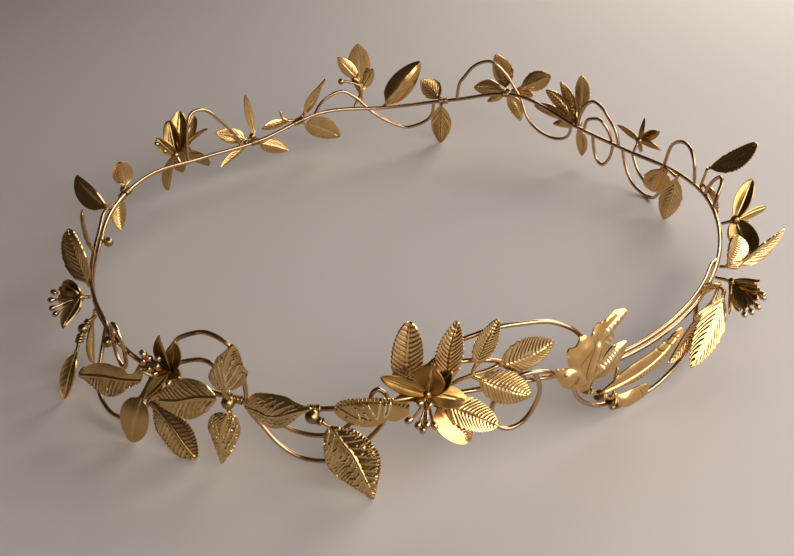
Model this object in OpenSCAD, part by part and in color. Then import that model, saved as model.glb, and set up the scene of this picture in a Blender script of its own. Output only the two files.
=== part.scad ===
/* [Head ring] */
// Radius of the head ring, to the middle of its wire: 565 mm round the head
ring_r = 90; // [88:1:92]
// Diameter of the head ring's wire
ring_wire_d = 1.2; // [1:0.1:1.3]
// Diameter of the scroll wires
scroll_wire_d = 1.1; // [0.8:0.1:1.2]
// Clearance between a wire and the binding sleeve around it
sleeve_gap = 0.35; // [0.3:0.05:0.4]

/* [Stampings] */
// Thickness of a stamped leaf
leaf_t = 0.4; // [0.3:0.05:0.5]
// Thickness of a petal
petal_t = 0.35; // [0.3:0.05:0.45]
// Width of a leaf's bare stalk
stalk_w = 1; // [0.8:0.1:1.1]
// Diameter of the stems that join leaves in one spray
stem_d = 0.9; // [0.7:0.1:1]
// Diameter of a stamen's thread
thread_d = 0.6; // [0.4:0.1:0.6]
// Diameter of the small bead on a stamen
anther_d = 1.6; // [1:0.1:1.6]
// Diameter of the bead on a binding
bead_d = 2.9; // [2.4:0.1:3.1]

/* [Finish] */
// Colour of the wires
wire_colour = "#b08a4e"; // color
// Colour of the antiqued leaves
leaf_colour = "#a8824a"; // color
// Colour of the yellow petals
petal_colour = "#b8943f"; // color
// Colour of the bindings
binding_colour = "#8c6a3c"; // color

/* [Hidden] */

// A place is [azimuth, out, height]. Azimuth 0 is the front and grows to the right, out is measured
// from the middle of the ring's wire, and height from the surface that the circlet stands on.
ring_step = 15;
ring_first = -180;
// A row every ring_step degrees from ring_first: [height of the wire, bow out of round]
RING = [
    [17.9, 0], [19, 0], [14, 0], [15, 0], [18.3, 0], [18, -1.2],
    [15.8, -3.5], [16.2, -3.5], [17, -2.2], [17, -0.5], [17, 0], [17, 0],
    [19.4, 0], [19.8, 0], [16.6, 0], [15.8, 0], [16, 0], [17, 0],
    [17.3, 0], [15.5, 0], [13.4, 0], [15.8, 0], [23.3, 0], [20, 0]];
ring_sections = 96;
ring_sides = 6;
wire_sides = 6;
stem_sides = 5;
thread_sides = 4;
bead_sides = 8;
anther_sides = 6;
// Clear gap between a piece and the wire that it sits on
seat_gap = 0.3;
// Distance of what sits on the ring from the middle of the ring's wire
end_seat = ring_wire_d / 2 + seat_gap;
// The same for a wire's cut end, which may slant, for a round wire, a stem and a leaf
cut_seat = end_seat + 0.1;
wire_seat = end_seat + scroll_wire_d / 2;
stem_seat = end_seat + stem_d / 2;
leaf_seat = end_seat + leaf_t / 2;
// The same for a wire that runs beside the ring
twin_seat = wire_seat + 0.05;
sleeve_wall = 0.6;
sleeve_sides = 16;

function unit(v) = v / norm(v);
function between(a, b, t) = a + (b - a) * t;

// Catmull-Rom curve from b to c
function curve(a, b, c, d, t) =
    0.5 * (2 * b + (c - a) * t + (2 * a - 5 * b + 4 * c - d) * t * t + (3 * b - a - 3 * c + d) * t * t * t);

// The ring's height and bow at an azimuth, with the table taken as an endless loop
function ring_row(i) = RING[(i % len(RING) + len(RING)) % len(RING)];
function ring_at(azimuth) =
    let (place = (azimuth - ring_first) / ring_step, i = floor(place))
    curve(ring_row(i - 1), ring_row(i), ring_row(i + 1), ring_row(i + 2), place - i);

// Point in space of a place, and places told from the ring's wire
function outward(azimuth) = [sin(azimuth), -cos(azimuth), 0];
function spot(place) = (ring_r + ring_at(place[0])[1] + place[1]) * outward(place[0]) + [0, 0, place[2]];
function beside(azimuth, out, rise = 0) = [azimuth, out, ring_at(azimuth)[0] + rise];
function above(azimuth) = beside(azimuth, 0, cut_seat);
function below(azimuth) = beside(azimuth, 0, -cut_seat);
function above_round(azimuth) = beside(azimuth, 0, wire_seat);
function below_round(azimuth) = beside(azimuth, 0, -wire_seat);
function ring_run(azimuth) = unit(spot(beside(azimuth + 1, 0)) - spot(beside(azimuth - 1, 0)));

// Smooth route through places, with a number of steps from each place to the next
function smooth(route, steps) =
    let (last = len(route) - 1)
    [for (i = [0:last - 1], k = [0:steps - 1])
        curve(route[max(i - 1, 0)], route[i], route[i + 1], route[min(i + 2, last)], k / steps),
     route[last]];

// Points of a wire's round section at a point, square to its run and lined up with the direction away
function section(point, run, away, d, sides) =
    let (a = unit(away - (away * run) * run), b = cross(run, a))
    [for (i = [0:sides - 1]) point + d / 2 * (cos(360 * i / sides) * a + sin(360 * i / sides) * b)];

// Side faces of a tube between one section and the next
function belt(from, to, sides) =
    [for (k = [0:sides - 1])
        let (next = (k + 1) % sides)
        [from * sides + k, to * sides + k, to * sides + next, from * sides + next]];
function skin(sections, sides) = [for (i = [0:sections - 2]) each belt(i, i + 1, sides)];

// A wire along a smooth route of places
module wire(route, d = scroll_wire_d, steps = 2) {
    places = smooth(route, steps);
    line = [for (place = places) spot(place)];
    last = len(line) - 1;
    rings = [for (i = [0:last])
        section(line[i], unit(line[min(i + 1, last)] - line[max(i - 1, 0)]), outward(places[i][0]), d,
                wire_sides)];
    caps = [[for (k = [0:wire_sides - 1]) k], [for (k = [wire_sides - 1:-1:0]) last * wire_sides + k]];
    color(wire_colour)
        polyhedron([for (ring = rings) each ring], concat(skin(last + 1, wire_sides), caps), convexity = 10);
}

// A closed wire through points, each with its direction away from the middle of the circlet
module closed_wire(line, aways, d, sides) {
    count = len(line);
    rings = [for (i = [0:count - 1])
        section(line[i], unit(line[(i + 1) % count] - line[(i + count - 1) % count]), aways[i], d, sides)];
    color(wire_colour)
        polyhedron([for (ring = rings) each ring], concat(skin(count, sides), belt(count - 1, 0, sides)),
                   convexity = 10);
}

// A round rod through points, for what is soldered to other pieces
module rod(points, d, sides = stem_sides) {
    for (i = [0:len(points) - 2])
        hull() {
            translate(points[i]) sphere(d = d, $fn = sides);
            translate(points[i + 1]) sphere(d = d, $fn = sides);
        }
}

// A stem through places, rounded between them
module stem(route, d = stem_d, steps = 1, sides = stem_sides) {
    rod([for (place = smooth(route, steps)) spot(place)], d, sides);
}

module bead(place, d = bead_d) {
    translate(spot(place)) sphere(d = d, $fn = bead_sides);
}

// Turns a shape that stands on z so that it runs along a direction, centred on a point
module lay_along(point, run) {
    translate(point)
        rotate([0, acos(run[2]), atan2(run[1], run[0])])
            children();
}

// What is drawn with a sleeve wound round the wire at a point, and a clear way for that wire
module bound(point, run, wire_d, length) {
    bore_d = wire_d + 2 * sleeve_gap;
    difference() {
        union() {
            children();
            lay_along(point, run)
                cylinder(h = length, d = bore_d + 2 * sleeve_wall, center = true, $fn = sleeve_sides);
        }
        lay_along(point, run) cylinder(h = 3 * length, d = bore_d, center = true, $fn = sleeve_sides);
    }
}
module bound_to_ring(azimuth, length = 3) {
    bound(spot(beside(azimuth, 0)), ring_run(azimuth), ring_wire_d, length) children();
}

// Half width of a blade at s, from 0 at its foot to 1 at its point. It is widest where s to the
// power of shape is a half.
function blade_half(width, shape, s) = width / 2 * pow(max(sin(180 * pow(s, shape)), 0), 0.8);

leaf_stations = 6;
petal_stations = 4;
blade_corners = 6;
blade_tip_half = 0.12;
// A stamped blade from a foot to a tip. Its face looks along a direction, turned by roll about the
// blade's own length. Fold lifts its edges towards the face, bow arches its midrib towards the face,
// sweep curves it sideways, and stalk is the bare part of its length.
module blade(foot, tip, face, width, roll, fold, bow, sweep, shape, stalk, thickness, stations) {
    along = unit(tip - foot);
    level = unit(face - (face * along) * along);
    normal = cos(roll) * level + sin(roll) * cross(along, level);
    across = cross(along, normal);
    deep = normal * thickness / 2;
    points = [for (i = [-1:stations])
        let (s = max(i, 0) / stations,
             t = i < 0 ? 0 : between(stalk, 1, s),
             stalk_half = stalk_w / 2 * (1 - s),
             half = i == stations ? blade_tip_half : max(blade_half(width, shape, s), stalk_half),
             middle = between(foot, tip, t) + (normal * bow + across * sweep) * 4 * t * (1 - t),
             edge = half * cos(fold) * across,
             lift = half * sin(fold) * normal)
        each [middle - edge + lift + deep, middle + deep, middle + edge + lift + deep,
              middle + edge + lift - deep, middle - deep, middle - edge + lift - deep]];
    last = (stations + 1) * blade_corners;
    caps = [[0, 1, 4, 5], [1, 2, 3, 4],
            last * [1, 1, 1, 1] + [5, 4, 1, 0], last * [1, 1, 1, 1] + [4, 3, 2, 1]];
    polyhedron(points, concat(skin(stations + 2, blade_corners), caps), convexity = 6);
}

// A leaf between two places, facing outwards
module leaf(from, to, width, roll = 0, fold = 12, bow = 0.8, sweep = 0, shape = 0.8, stalk = 0.08) {
    color(leaf_colour)
        blade(spot(from), spot(to), outward((from[0] + to[0]) / 2), width, roll, fold, bow, sweep, shape,
              stalk, leaf_t, leaf_stations);
}

// Petals from one centre, a row each: [place of the tip, width, bow], cupped towards the front place
module petals(centre, front, rows, shape = 1.1, fold = 22) {
    facing = unit(spot(front) - spot(centre));
    color(petal_colour)
        for (row = rows)
            blade(spot(centre), spot(row[0]), facing, row[1], 0, fold, row[2], 0, shape, 0, petal_t,
                  petal_stations);
}

// Stamens from one centre to a bead each
module stamens(centre, beads) {
    start = spot(centre);
    color(wire_colour)
        for (place = beads) {
            end = spot(place);
            rod([start, end], thread_d, thread_sides);
            translate(end) sphere(d = anther_d, $fn = anther_sides);
        }
}

module heart(centre, d = 2.2) {
    color(binding_colour) bead(centre, d);
}

module head_ring() {
    azimuths = [for (i = [0:ring_sections - 1]) ring_first + 360 * i / ring_sections];
    closed_wire([for (a = azimuths) spot(beside(a, 0))], [for (a = azimuths) outward(a)], ring_wire_d,
                ring_sides);
}

// Scroll wires, from the front round to the right, the back and the left

module arches_front_left() {
    color(wire_colour) {
        stem([above_round(-37.6), [-37.4, 0, 20.6], [-37, 0, 24.6], [-35.4, 0, 28.7], [-33, 0, 31.3],
              [-29.8, 0, 33.4], [-27.3, 0, 33], [-25.3, 0, 31], [-24.3, 0, 27], [-24, 0, 22.5],
              above_round(-24.1)], scroll_wire_d, 2, wire_sides);
        stem([[-37.4, 0, 20.6], [-36, 0, 22.2], [-33.2, 0, 24.4], [-30.7, 0, 25.6], [-28.8, 0, 24.8],
              [-27.9, 0, 21.6], above_round(-27.9)], scroll_wire_d, 2, wire_sides);
    }
}

module sweep_front() {
    wire([below(-24.6), [-23.8, 0, 14], [-22, 0, 10.4], [-20, 0, 6.3], [-17.2, 0, 3.3], [-14.7, 0, 2.5],
          [-12, 0, 3], [-9.1, 0, 5], [-6.3, 0, 9.5], [-4, 0, 14.1], below(-2.8)]);
}

module sweep_front_inner() {
    wire([below(-20.9), [-20.2, 0, 13.6], [-18.3, 0, 11.4], [-15.9, 0, 10], [-12.7, 0, 10],
          [-9.8, 0, 12], [-8.2, 0, 15], below(-7.6)]);
}

module eyelet_front() {
    wire([above(-6), [-5.8, 0, 20.6], [-5.3, 0, 22], [-4.4, 0, 22.8], [-3.5, 0, 22], [-3.1, 0, 20.9],
          above(-2.9)]);
}

module arch_front() {
    wire([above(1.2), [1, 0, 23.4], [1.8, 0, 26.3], [3.8, 0, 29.5], [7.3, 0, 33.2], [9.2, 0, 34.2],
          [12.5, 0, 35.1], [16.2, 0, 34.7], [19.6, 0, 33.7], [22.2, 0, 31.6], [24.7, 0, 28.3],
          [26.3, 0, 23.8], above(26.9)]);
}

module branch_front() {
    wire([above(3.4), [4, 0, 24.4], [5.3, 0, 27.2], [8.3, 0, 28], [12.4, 0, 26.5], [15.2, 0, 23.4],
          above(16.4)]);
}

module curl_front() {
    color(wire_colour) {
        stem([above_round(13.2), [14, 0.8, 21.4], [15.8, 1.6, 22.6], [17.4, 1.6, 22.5], [19.8, 0.8, 21],
              above_round(21.4)], scroll_wire_d, 2, wire_sides);
        stem([below_round(12.9), [11.3, 0, 14], [11.7, 0, 10], [13.4, 0, 7.9], [15.4, 0, 8.2], [17, 0, 10.3],
              [18.2, 0.5, 14.4], [18.2, 1.5, 18.4], [17.4, 1.6, 22.5]], scroll_wire_d, 2, wire_sides);
    }
}

module sweep_front_right() {
    wire(SWEEP_FRONT_RIGHT);
}
SWEEP_FRONT_RIGHT = [
    below(23.8), [24.4, 0, 12.6], [25.8, 0, 9], [28.3, 0, 6.2], [31.8, 0, 4.6], [36.7, 0.4, 2.8],
    [41.2, 1, 3.2], [47.6, 1.4, 5.6], [50.7, 1, 7.8], [52.8, 0.4, 11.2], below(53.6)];

eyelet_left_centre = [-50.9, wire_seat, 18.2];
module eyelet_left() {
    corners = 16;
    half_azimuth = 2.1;
    half_height = 6.2;
    places = [for (i = [0:corners - 1])
        eyelet_left_centre
            + [half_azimuth * sin(360 * i / corners), 0, half_height * cos(360 * i / corners)]];
    closed_wire([for (place = places) spot(place)], [for (place = places) outward(place[0])],
                scroll_wire_d, wire_sides);
}

module sweep_left() {
    wire([below(-59.2), [-58.6, 2.6, 11], [-56, 6.4, 4.4], [-51.5, 7.4, 2.2], [-48, 6.6, 2], [-45, 5, 3.4],
          [-43.2, 2.2, 8], below(-42.7)]);
}

module twin_wire_left() {
    wire([beside(-58.4, 0, wire_seat + 0.1), beside(-61.5, 0, 1.9), beside(-70, 0, 2.4), beside(-78, 0, 2.2),
          beside(-86, 0, 2.6), beside(-94, 0, 2.6), beside(-99, 0, 3.2), beside(-103, 0, 2),
          beside(-105.4, 0, wire_seat + 0.1)]);
}

module twin_wire_right() {
    wire([beside(30, -twin_seat, 0.4), beside(36, -twin_seat, 0.6), beside(44, -twin_seat, 0.6),
          beside(52, -twin_seat, 0.6), beside(60, -twin_seat, 0.6), beside(66, -twin_seat, 0.4)]);
}

module arch_right() {
    wire([above(85.8), [86.2, 1.2, 21.5], [87.6, 2.6, 24], [89.4, 2.8, 24.4], [91, 1.4, 21.6], above(91.8)]);
}

module arch_right_back() {
    wire([above(109.4), [107.3, 0, 22.6], [103.9, 0, 26.2], [100.3, 0, 26.6], [97.9, 0, 23.2],
          above(97.2)]);
}

module drop_loops_back_right() {
    color(wire_colour) {
        stem([below_round(122.6), [121.2, 0, 6.8], [118.6, 0, 2.2], [114.8, 0.7, 0.6], [111.6, 0, 2.8],
              [109.2, 0, 9.2], below_round(108.2)], scroll_wire_d, 2, wire_sides);
        stem([below_round(119.6), [117.9, 0, 8.5], [115.5, 0, 5.8], [112.6, 0, 5.8], [109.2, 0, 9.2]],
             scroll_wire_d, 2, wire_sides);
    }
}

module hoop_back_right() {
    wire([above(133.2), [132.6, 0, 18.8], [131.4, 0, 20.1], [129.3, 0.3, 20.6], [127.6, 0.9, 18.1],
          [126.5, wire_seat, 14.7], [126.1, wire_seat, 12.3], [126.5, 0.5, 8], [128.1, 0, 5],
          [129.8, 0, 6.6], [130.6, 0, 10.6], below(130.8)]);
}

module arch_back_right() {
    wire([above(134.9), [133.8, 0, 22.4], [131.2, 0, 26.3], [128.6, 0, 25.2], [126.6, 0, 22.1],
          [124.6, 0, 18.6], above(123.6)]);
}

module scroll_back_right() {
    wire([above(163.9), [163.3, 0, 25.7], [162, 0, 28.7], [159.9, 0, 32.5], [157.4, 0, 34.5],
          [155.1, 0, 34.4], [152.6, 0.5, 30.6], [150.9, wire_seat, 26], [149.2, wire_seat + 0.1, 21],
          [147.9, 0.6, 16.5], [146.2, 0, 13.2], [143.5, 0, 10.6], [140, 0, 9.8], [137.4, 0, 11.8],
          below(136.4)]);
}

module scroll_back_left() {
    wire([above(-163.4), [-164.6, 0, 21.6], [-166.4, 0, 24], [-170, 0.3, 25.6], [-173, 0.9, 22.6],
          [-174.9, wire_seat, 19.2], [-176.6, wire_seat, 16.2], [-178.9, 0.4, 13.6], [-181.8, 0, 11.2],
          [-184.5, 0, 9.9], [-188.4, 0, 11.8], [-190.2, 0, 14.8], below(-190.7)]);
}

module arch_back_left() {
    wire([above(-131.2), [-131.8, 0, 24], [-132.9, 0, 29.4], [-134.6, 0, 31.8], [-138, 0, 30.4],
          [-141.6, 0, 24], [-144.3, 0, 18], above(-145)]);
}

// Bindings: sleeves of fine wire round the head ring, each closed with a bead

module binding_left() {
    color(binding_colour)
        bound_to_ring(-94)
            bead([-94, -2, 15]);
}

module binding_left_front() {
    color(binding_colour)
        bound_to_ring(-56.4)
            bead([-56, 1.6, 15.4]);
}

// Leaves and flowers at the front

module leaf_tall_front() {
    leaf(beside(-0.6, leaf_seat), [0.6, 2.4, 41], 6.2, fold = 26, bow = 0.6, sweep = -0.4, shape = 0.95,
         stalk = 0.22);
}

module spray_front() {
    color(leaf_colour) {
        stem([beside(4.8, stem_seat), [5, 1.8, 22.6], [6.2, 2.2, 24.6], [8.4, 2.4, 25.8], [10.2, 2.5, 26.3],
              [11.9, 2.6, 27.2]]);
        stem([[8.4, 2.4, 25.8], [8.6, 2.4, 27.2], [9, 2.5, 28.6]]);
    }
    leaf([5, 2, 23], [6.7, 2.6, 39.8], 5.8, fold = 12, bow = 0.6, sweep = -1, shape = 0.9, stalk = 0.12);
    leaf([8.9, 2.5, 28], [11.9, 3.4, 39.4], 4.8, fold = 12, bow = 0.5, sweep = -0.6, shape = 0.9,
         stalk = 0.05);
    leaf([11.7, 2.6, 27.1], [19.7, 3.4, 30.5], 7.6, fold = -8, bow = 0.8, shape = 0.85);
    leaf([8.4, 2.5, 25.6], [15.9, 5.2, 19.3], 7.6, fold = -10, bow = 0.8, shape = 0.9, stalk = 0.12);
}

lily_front_centre = [2.2, 3.6, 23.2];
module lily_front() {
    front = [1.6, 11, 20];
    petals(lily_front_centre, front,
           [[[-3.2, 6.6, 30], 4.4, -0.4], [[3, 6, 32.4], 5.4, -0.4], [[5.3, 6.4, 30.2], 4, -0.4],
            [[6.7, 8.6, 23.4], 4.4, 0.2], [[-2.3, 6.6, 24.2], 2.8, -0.2]]);
    stamens(lily_front_centre,
            [[-0.4, 9, 20.8], [0.7, 9.2, 19.6], [1.7, 9.6, 19.9], [2.6, 9.2, 19.1], [3, 10, 22.6],
             [1.8, 10.4, 21.8]]);
    heart(lily_front_centre);
    color(wire_colour) stem([beside(2.2, stem_seat), lily_front_centre]);
}

module leaves_low_front() {
    leaf([3.5, leaf_seat + 0.4, 19.4], [11.2, 6.4, 14], 6.2, fold = 14, bow = 0.6, stalk = 0.15);
    leaf([3.3, leaf_seat + 0.3, 18.9], [7, 8, 12], 8.2, fold = -12, bow = 0.8);
    color(leaf_colour) stem([beside(3.4, stem_seat), [3.5, 1.6, 19.5], [3.4, 1.8, 18.8]]);
}

module leaf_long_front() {
    leaf(beside(-11.4, leaf_seat), [-0.8, 3, 20.6], 6.6, roll = -12, fold = -12, bow = 0.9, sweep = 0.7,
         shape = 0.9, stalk = 0.1);
}

module leaf_drop_front() {
    bound_to_ring(-13.8) {
        color(binding_colour) {
            bead([-13.7, 2.1, 16.6]);
            stem([[-13.7, 2.2, 16.4], [-12.6, 2.6, 15.8], [-11.9, 2.4, 15], [-11.2, 2.4, 14.4]]);
        }
        leaf([-11.4, 2.4, 14.8], [-5.7, 9.6, 0.15], 11, fold = -14, bow = 0.8, shape = 0.75);
    }
}

module leaf_veined_front() {
    leaf(beside(-23.7, leaf_seat, 0.5), [-15.4, 2.6, 18.2], 8.4, roll = -12, fold = 10, bow = 0.9,
         shape = 0.95, stalk = 0.05);
}

// Leaves and flowers at the front left

module leaf_pair_front_left() {
    bound_to_ring(-26.1) {
        color(binding_colour) bead([-26.3, 2.2, 17.2], 3.2);
        leaf([-26, 2.4, 17.8], [-24, 4, 33.8], 10, fold = -12, bow = 1, sweep = -1.2, shape = 0.72);
        leaf([-26.4, 2.4, 16.6], [-27.9, 5.4, 1.2], 8, roll = -10, fold = 12, bow = 0.8, shape = 0.75);
        color(leaf_colour) stem([[-26, 2.2, 18.2], [-26.3, 2.5, 17], [-26.4, 2.4, 15.8]]);
    }
}

module leaf_wide_front_left() {
    leaf(beside(-28.4, leaf_seat), [-39.3, 6, 13.6], 9.8, roll = 12, fold = -12, bow = 1.2, shape = 0.85);
}

module leaf_low_front_left() {
    leaf(beside(-39.6, leaf_seat), [-32.8, 5.8, 0.15], 9.4, roll = -20, fold = 10, bow = 0.6, sweep = 0.8,
         shape = 1.1, stalk = 0.18);
}

module leaf_oval_front_left() {
    leaf(beside(-41.2, leaf_seat), [-43, 8.9, 0.2], 9, roll = -15, fold = -8, bow = 1.2, sweep = 0.8,
         shape = 0.95, stalk = 0.25);
}

module leaf_left_front() {
    leaf(beside(-44.4, leaf_seat), [-54, 10.4, 11.4], 8, fold = -14, bow = 1, sweep = -2, shape = 0.9,
         stalk = 0.1);
}

lily_left_centre = [-35.3, 3.2, 22.4];
module lily_left() {
    front = [-36, 9, 27];
    petals(lily_left_centre, front,
           [[[-34, 6.4, 34.4], 3.6, 0.5], [[-33, 3.6, 31.6], 2.4, 0.2], [[-37.2, 9, 25.6], 3.8, -0.6],
            [[-39.2, 7, 14.6], 3.4, 0.4]]);
    stamens(lily_left_centre,
            [[-35.7, 9.2, 30.2], [-34, 8, 29.2], [-33.8, 9, 28], [-35.1, 8, 24.8], [-34.3, 6, 21.6]]);
    heart(lily_left_centre);
    color(wire_colour) stem([beside(-35.2, stem_seat), [-35.2, 1.8, 19.6], lily_left_centre]);
}

module bud_left() {
    color(binding_colour) {
        stem([beside(-63.6, stem_seat), [-63, 3.6, 16], [-61.6, 6.4, 14], [-60.2, 8.4, 11.6]]);
        bead([-62.6, 5, 15.2], 2.8);
    }
    leaf([-60.4, 8.2, 12], [-59.6, 14.4, 0.15], 4.6, roll = -35, fold = 20, bow = 0.6);
    leaf(beside(-66, leaf_seat), [-65.7, 4.2, 1.4], 4.2, roll = 40, bow = 0.6, shape = 1.1, stalk = 0.25);
}

// Leaves and flowers on the left

flower_left_centre = [-71, 3.4, 17];
module flower_left() {
    front = [-71.5, 10, 16.6];
    petals(flower_left_centre, front,
           [[[-72.2, 9, 16.6], 3, -0.2], [[-66.2, 9.6, 13.6], 3.8, 0.2], [[-73.5, 7, 20.6], 3, -0.2],
            [[-70, 6.6, 12.6], 3, -0.2]]);
    stamens(flower_left_centre,
            [[-74, 10, 17.6], [-72.3, 10.9, 17], [-71, 10.9, 15.8], [-70, 10.4, 14.9]]);
    heart(flower_left_centre);
    color(wire_colour) stem([beside(-71, stem_seat), [-71, 2.4, 16.8], flower_left_centre]);
}

module leaf_upright_left() {
    leaf(beside(-75, leaf_seat + 0.2), [-80, 3.6, 30.6], 7.4, roll = 55, fold = 14, bow = 0.8, shape = 0.85);
}

module leaf_narrow_left() {
    leaf(beside(-88.2, leaf_seat), [-90, 1.9, 28.8], 4.6, roll = 25, fold = 16, bow = 0.6);
}

module leaf_broad_left() {
    leaf(beside(-104, leaf_seat), [-108, 14, 25.6], 8.6, roll = 62, fold = 16, bow = 0.8);
}

module leaves_left_back() {
    bound_to_ring(-111.6) {
        leaf([-113, 1.6, 19], [-113, 1.6, 27.4], 6.4, roll = 20, fold = 16, bow = 0.5);
        leaf([-110.2, 1.6, 17.4], [-109, 2.6, 6.6], 6, roll = 20, fold = 12, bow = 0.6);
        color(binding_colour) {
            bead([-112, 1.7, 18.6], 2.4);
            bead([-111, 1.7, 17], 2.4);
            stem([[-110.2, 1.6, 17], [-111.4, 1.8, 18], [-112.4, 1.8, 19], [-113, 1.6, 19.6]]);
        }
    }
}

flower_left_back_centre = [-129.5, 2.6, 18.8];
module flower_left_back() {
    front = [-130, 7, 26];
    petals(flower_left_back_centre, front,
           [[[-130.4, 5, 30], 5.4, 0.3], [[-133.4, 5, 31.6], 6.6, 0.3], [[-136.8, 5, 28], 5.4, 0.3],
            [[-139, 4, 22.4], 5, 0.2], [[-127, 5, 7], 5.6, 0.4], [[-138, 4, 9.6], 6.6, 0.4],
            [[-131.4, 4.2, 10.8], 4.6, 0.3]]);
    stamens(flower_left_back_centre, [[-126.6, 5, 24], [-127.8, 4.2, 20.8]]);
    heart(flower_left_back_centre, 2.4);
    color(wire_colour)
        stem([beside(-129.5, stem_seat), [-129.5, 1.8, 18], flower_left_back_centre]);
}

// Leaves at the back

module sprig_back_left() {
    bound_to_ring(-148.6) {
        leaf([-149.2, 1.6, 14.6], [-148.7, 3, 30.4], 3, fold = 12, bow = 0.4, shape = 1);
        leaf([-147.6, 1.8, 14.8], [-140.9, 4, 19.8], 5.4, bow = 0.6);
        leaf([-147.6, 1.8, 13.6], [-140.4, 3, 7.6], 3, fold = 16, bow = 0.4);
        leaf([-149.8, 2, 12.4], [-157, 3.4, 6], 5.6, fold = 16, bow = 0.4);
        color(binding_colour) {
            bead([-148.7, 1.9, 15.4], 2.4);
            bead([-150, 2, 12.9], 2.2);
            bead([-147, 1.9, 13.8], 2.2);
            stem([[-147, 1.8, 14], [-148, 1.8, 14.8], [-149, 1.9, 14], [-150, 2, 12.6]]);
        }
    }
}

module leaf_oval_back_left() {
    bound_to_ring(-159.6, 4) {
        leaf([-160.6, 1.6, 16], [-169.2, 5, 6.8], 8.6, roll = 10, bow = 1, shape = 1);
        leaf([-160.8, 1.5, 18.4], [-166.9, 3, 30], 4.8, fold = 18, bow = -0.6, shape = 0.9);
        leaf([-157.4, 1.4, 17.8], [-151.6, 3.4, 16.4], 3.4, fold = 18, bow = 0.4, shape = 1);
        color(leaf_colour) {
            stem([[-160.2, 1.2, 17.2], [-160.9, 1.6, 15.4]]);
            stem([[-160.8, 1.5, 18.6], [-160, 1.6, 17.8], [-158.6, 1.4, 17.6], [-157.2, 1.4, 18]]);
            stem([[-157.2, 1.4, 18], [-156.2, 1.6, 19.4], [-156, 2, 21.8]]);
        }
    }
}

module leaf_lobed_back() {
    leaf([-174.4, 2.3, 19], [-174.8, 3.4, 41], 8.2, fold = 16, bow = 0.8, shape = 1.3, stalk = 0.15);
    leaf([-174.5, 2.6, 24], [-177.6, 3.6, 31.4], 4.6, fold = 10, bow = 0.4, shape = 0.9);
    leaf([-174.3, 2.8, 28], [-170.2, 3.6, 36.8], 5, fold = 10, bow = 0.4, shape = 0.9);
    color(binding_colour) {
        stem([beside(-172.6, stem_seat), [-173.4, 2.3, 20.4], [-174.4, 2.6, 23], [-174.4, 2.8, 26]]);
        stem([[-174.4, 2.8, 26], [-172.4, 3, 27.6], [-170.4, 3, 28.2]]);
        bead([-170.4, 3, 28.2], 2.2);
    }
}

module leaf_curled_back() {
    leaf(beside(-179.2, leaf_seat + 0.3), [-187.9, 4.4, 32.6], 9.6, fold = 24, bow = -1.4, shape = 0.8);
}

module leaf_pair_back() {
    bound_to_ring(167) {
        leaf([167.9, 2.2, 19.4], [172.1, 4, 26], 7.4, bow = 0.6, shape = 0.85);
        leaf([167.8, 2.2, 18], [169, 8.4, 0.1], 7.6, bow = 0.8, shape = 1.1);
        color(binding_colour) {
            bead([167.6, 1.9, 18.8]);
            stem([[168, 2, 19.8], [167.8, 2.2, 18.6], [167.8, 2.3, 17.2]]);
        }
    }
}

module spray_back() {
    bound_to_ring(152.6, 2.6) {
        leaf([152.8, 2.2, 24.2], [155.4, 3.6, 36.2], 7.4, bow = 0.8);
        leaf([153.4, 2.2, 23.6], [160.4, 3.2, 23.6], 6.2, bow = 0.6, shape = 0.9);
        leaf([150.2, 2.8, 24.6], [143.6, 5.4, 30], 6.8, bow = 0.8, shape = 1);
        leaf([152, 2.4, 23.2], [147, 4, 22.6], 4.2, bow = 0.4);
        leaf([152.6, 2.4, 22.6], [150.3, 4.4, 12.3], 5.2, bow = 0.6);
        leaf([153.4, 2.2, 22.6], [157.4, 3, 18.8], 2.8, bow = 0.3);
        color(binding_colour) {
            bead([152.4, 2.1, 23.3], 2.8);
            stem([[153.4, 2, 23.2], [152.4, 2.4, 23.8], [151, 2.7, 24.2], [150, 2.8, 24.8]]);
        }
    }
}

module spray_back_right() {
    leaf([135.7, 2.6, 17], [135.5, 3.4, 32.8], 6, bow = 0.6, shape = 1.2);
    leaf([136.4, 2.6, 16.6], [144.2, 4, 25], 5, bow = 0.5, shape = 1.1);
    leaf([136.2, 2.7, 17], [141.4, 5.4, 28.2], 4.8, bow = 0.5, shape = 1.1);
    leaf([136.6, 2.5, 16.2], [147, 4.6, 18.8], 4.2, bow = 0.4, shape = 1.2);
    leaf([136.4, 2.5, 15.6], [142.2, 3.4, 13.6], 3.4, bow = 0.3);
    leaf([135.7, 2.6, 15], [135.6, 4.4, 3.6], 4.6, bow = 0.5, shape = 1);
    color(binding_colour) {
        bead([135.8, 2.4, 16.2], 3);
        stem([[135.7, 2.6, 14.4], [135.9, 2.7, 16], [136.3, 2.7, 17.2]]);
        stem([beside(136.6, stem_seat), [136.2, 2, 16.2], [135.8, 2.4, 16.2]]);
    }
}

flower_back_right_centre = [119.8, 3, 16.8];
module flower_back_right() {
    front = [119.4, 8, 18];
    petals(flower_back_right_centre, front,
           [[[119.9, 5, 24], 2.4, -0.3], [[116.4, 6.4, 21], 3.2, -0.3], [[115, 5.6, 15.6], 3, -0.3],
            [[120.8, 5.4, 11.6], 2.8, -0.3], [[126.4, 4, 18.6], 3.4, -0.2]]);
    heart(flower_back_right_centre, 2.4);
    color(wire_colour)
        stem([beside(119.8, stem_seat), [119.8, 2, 15.6], flower_back_right_centre]);
}

// Leaves and flowers on the right

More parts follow.
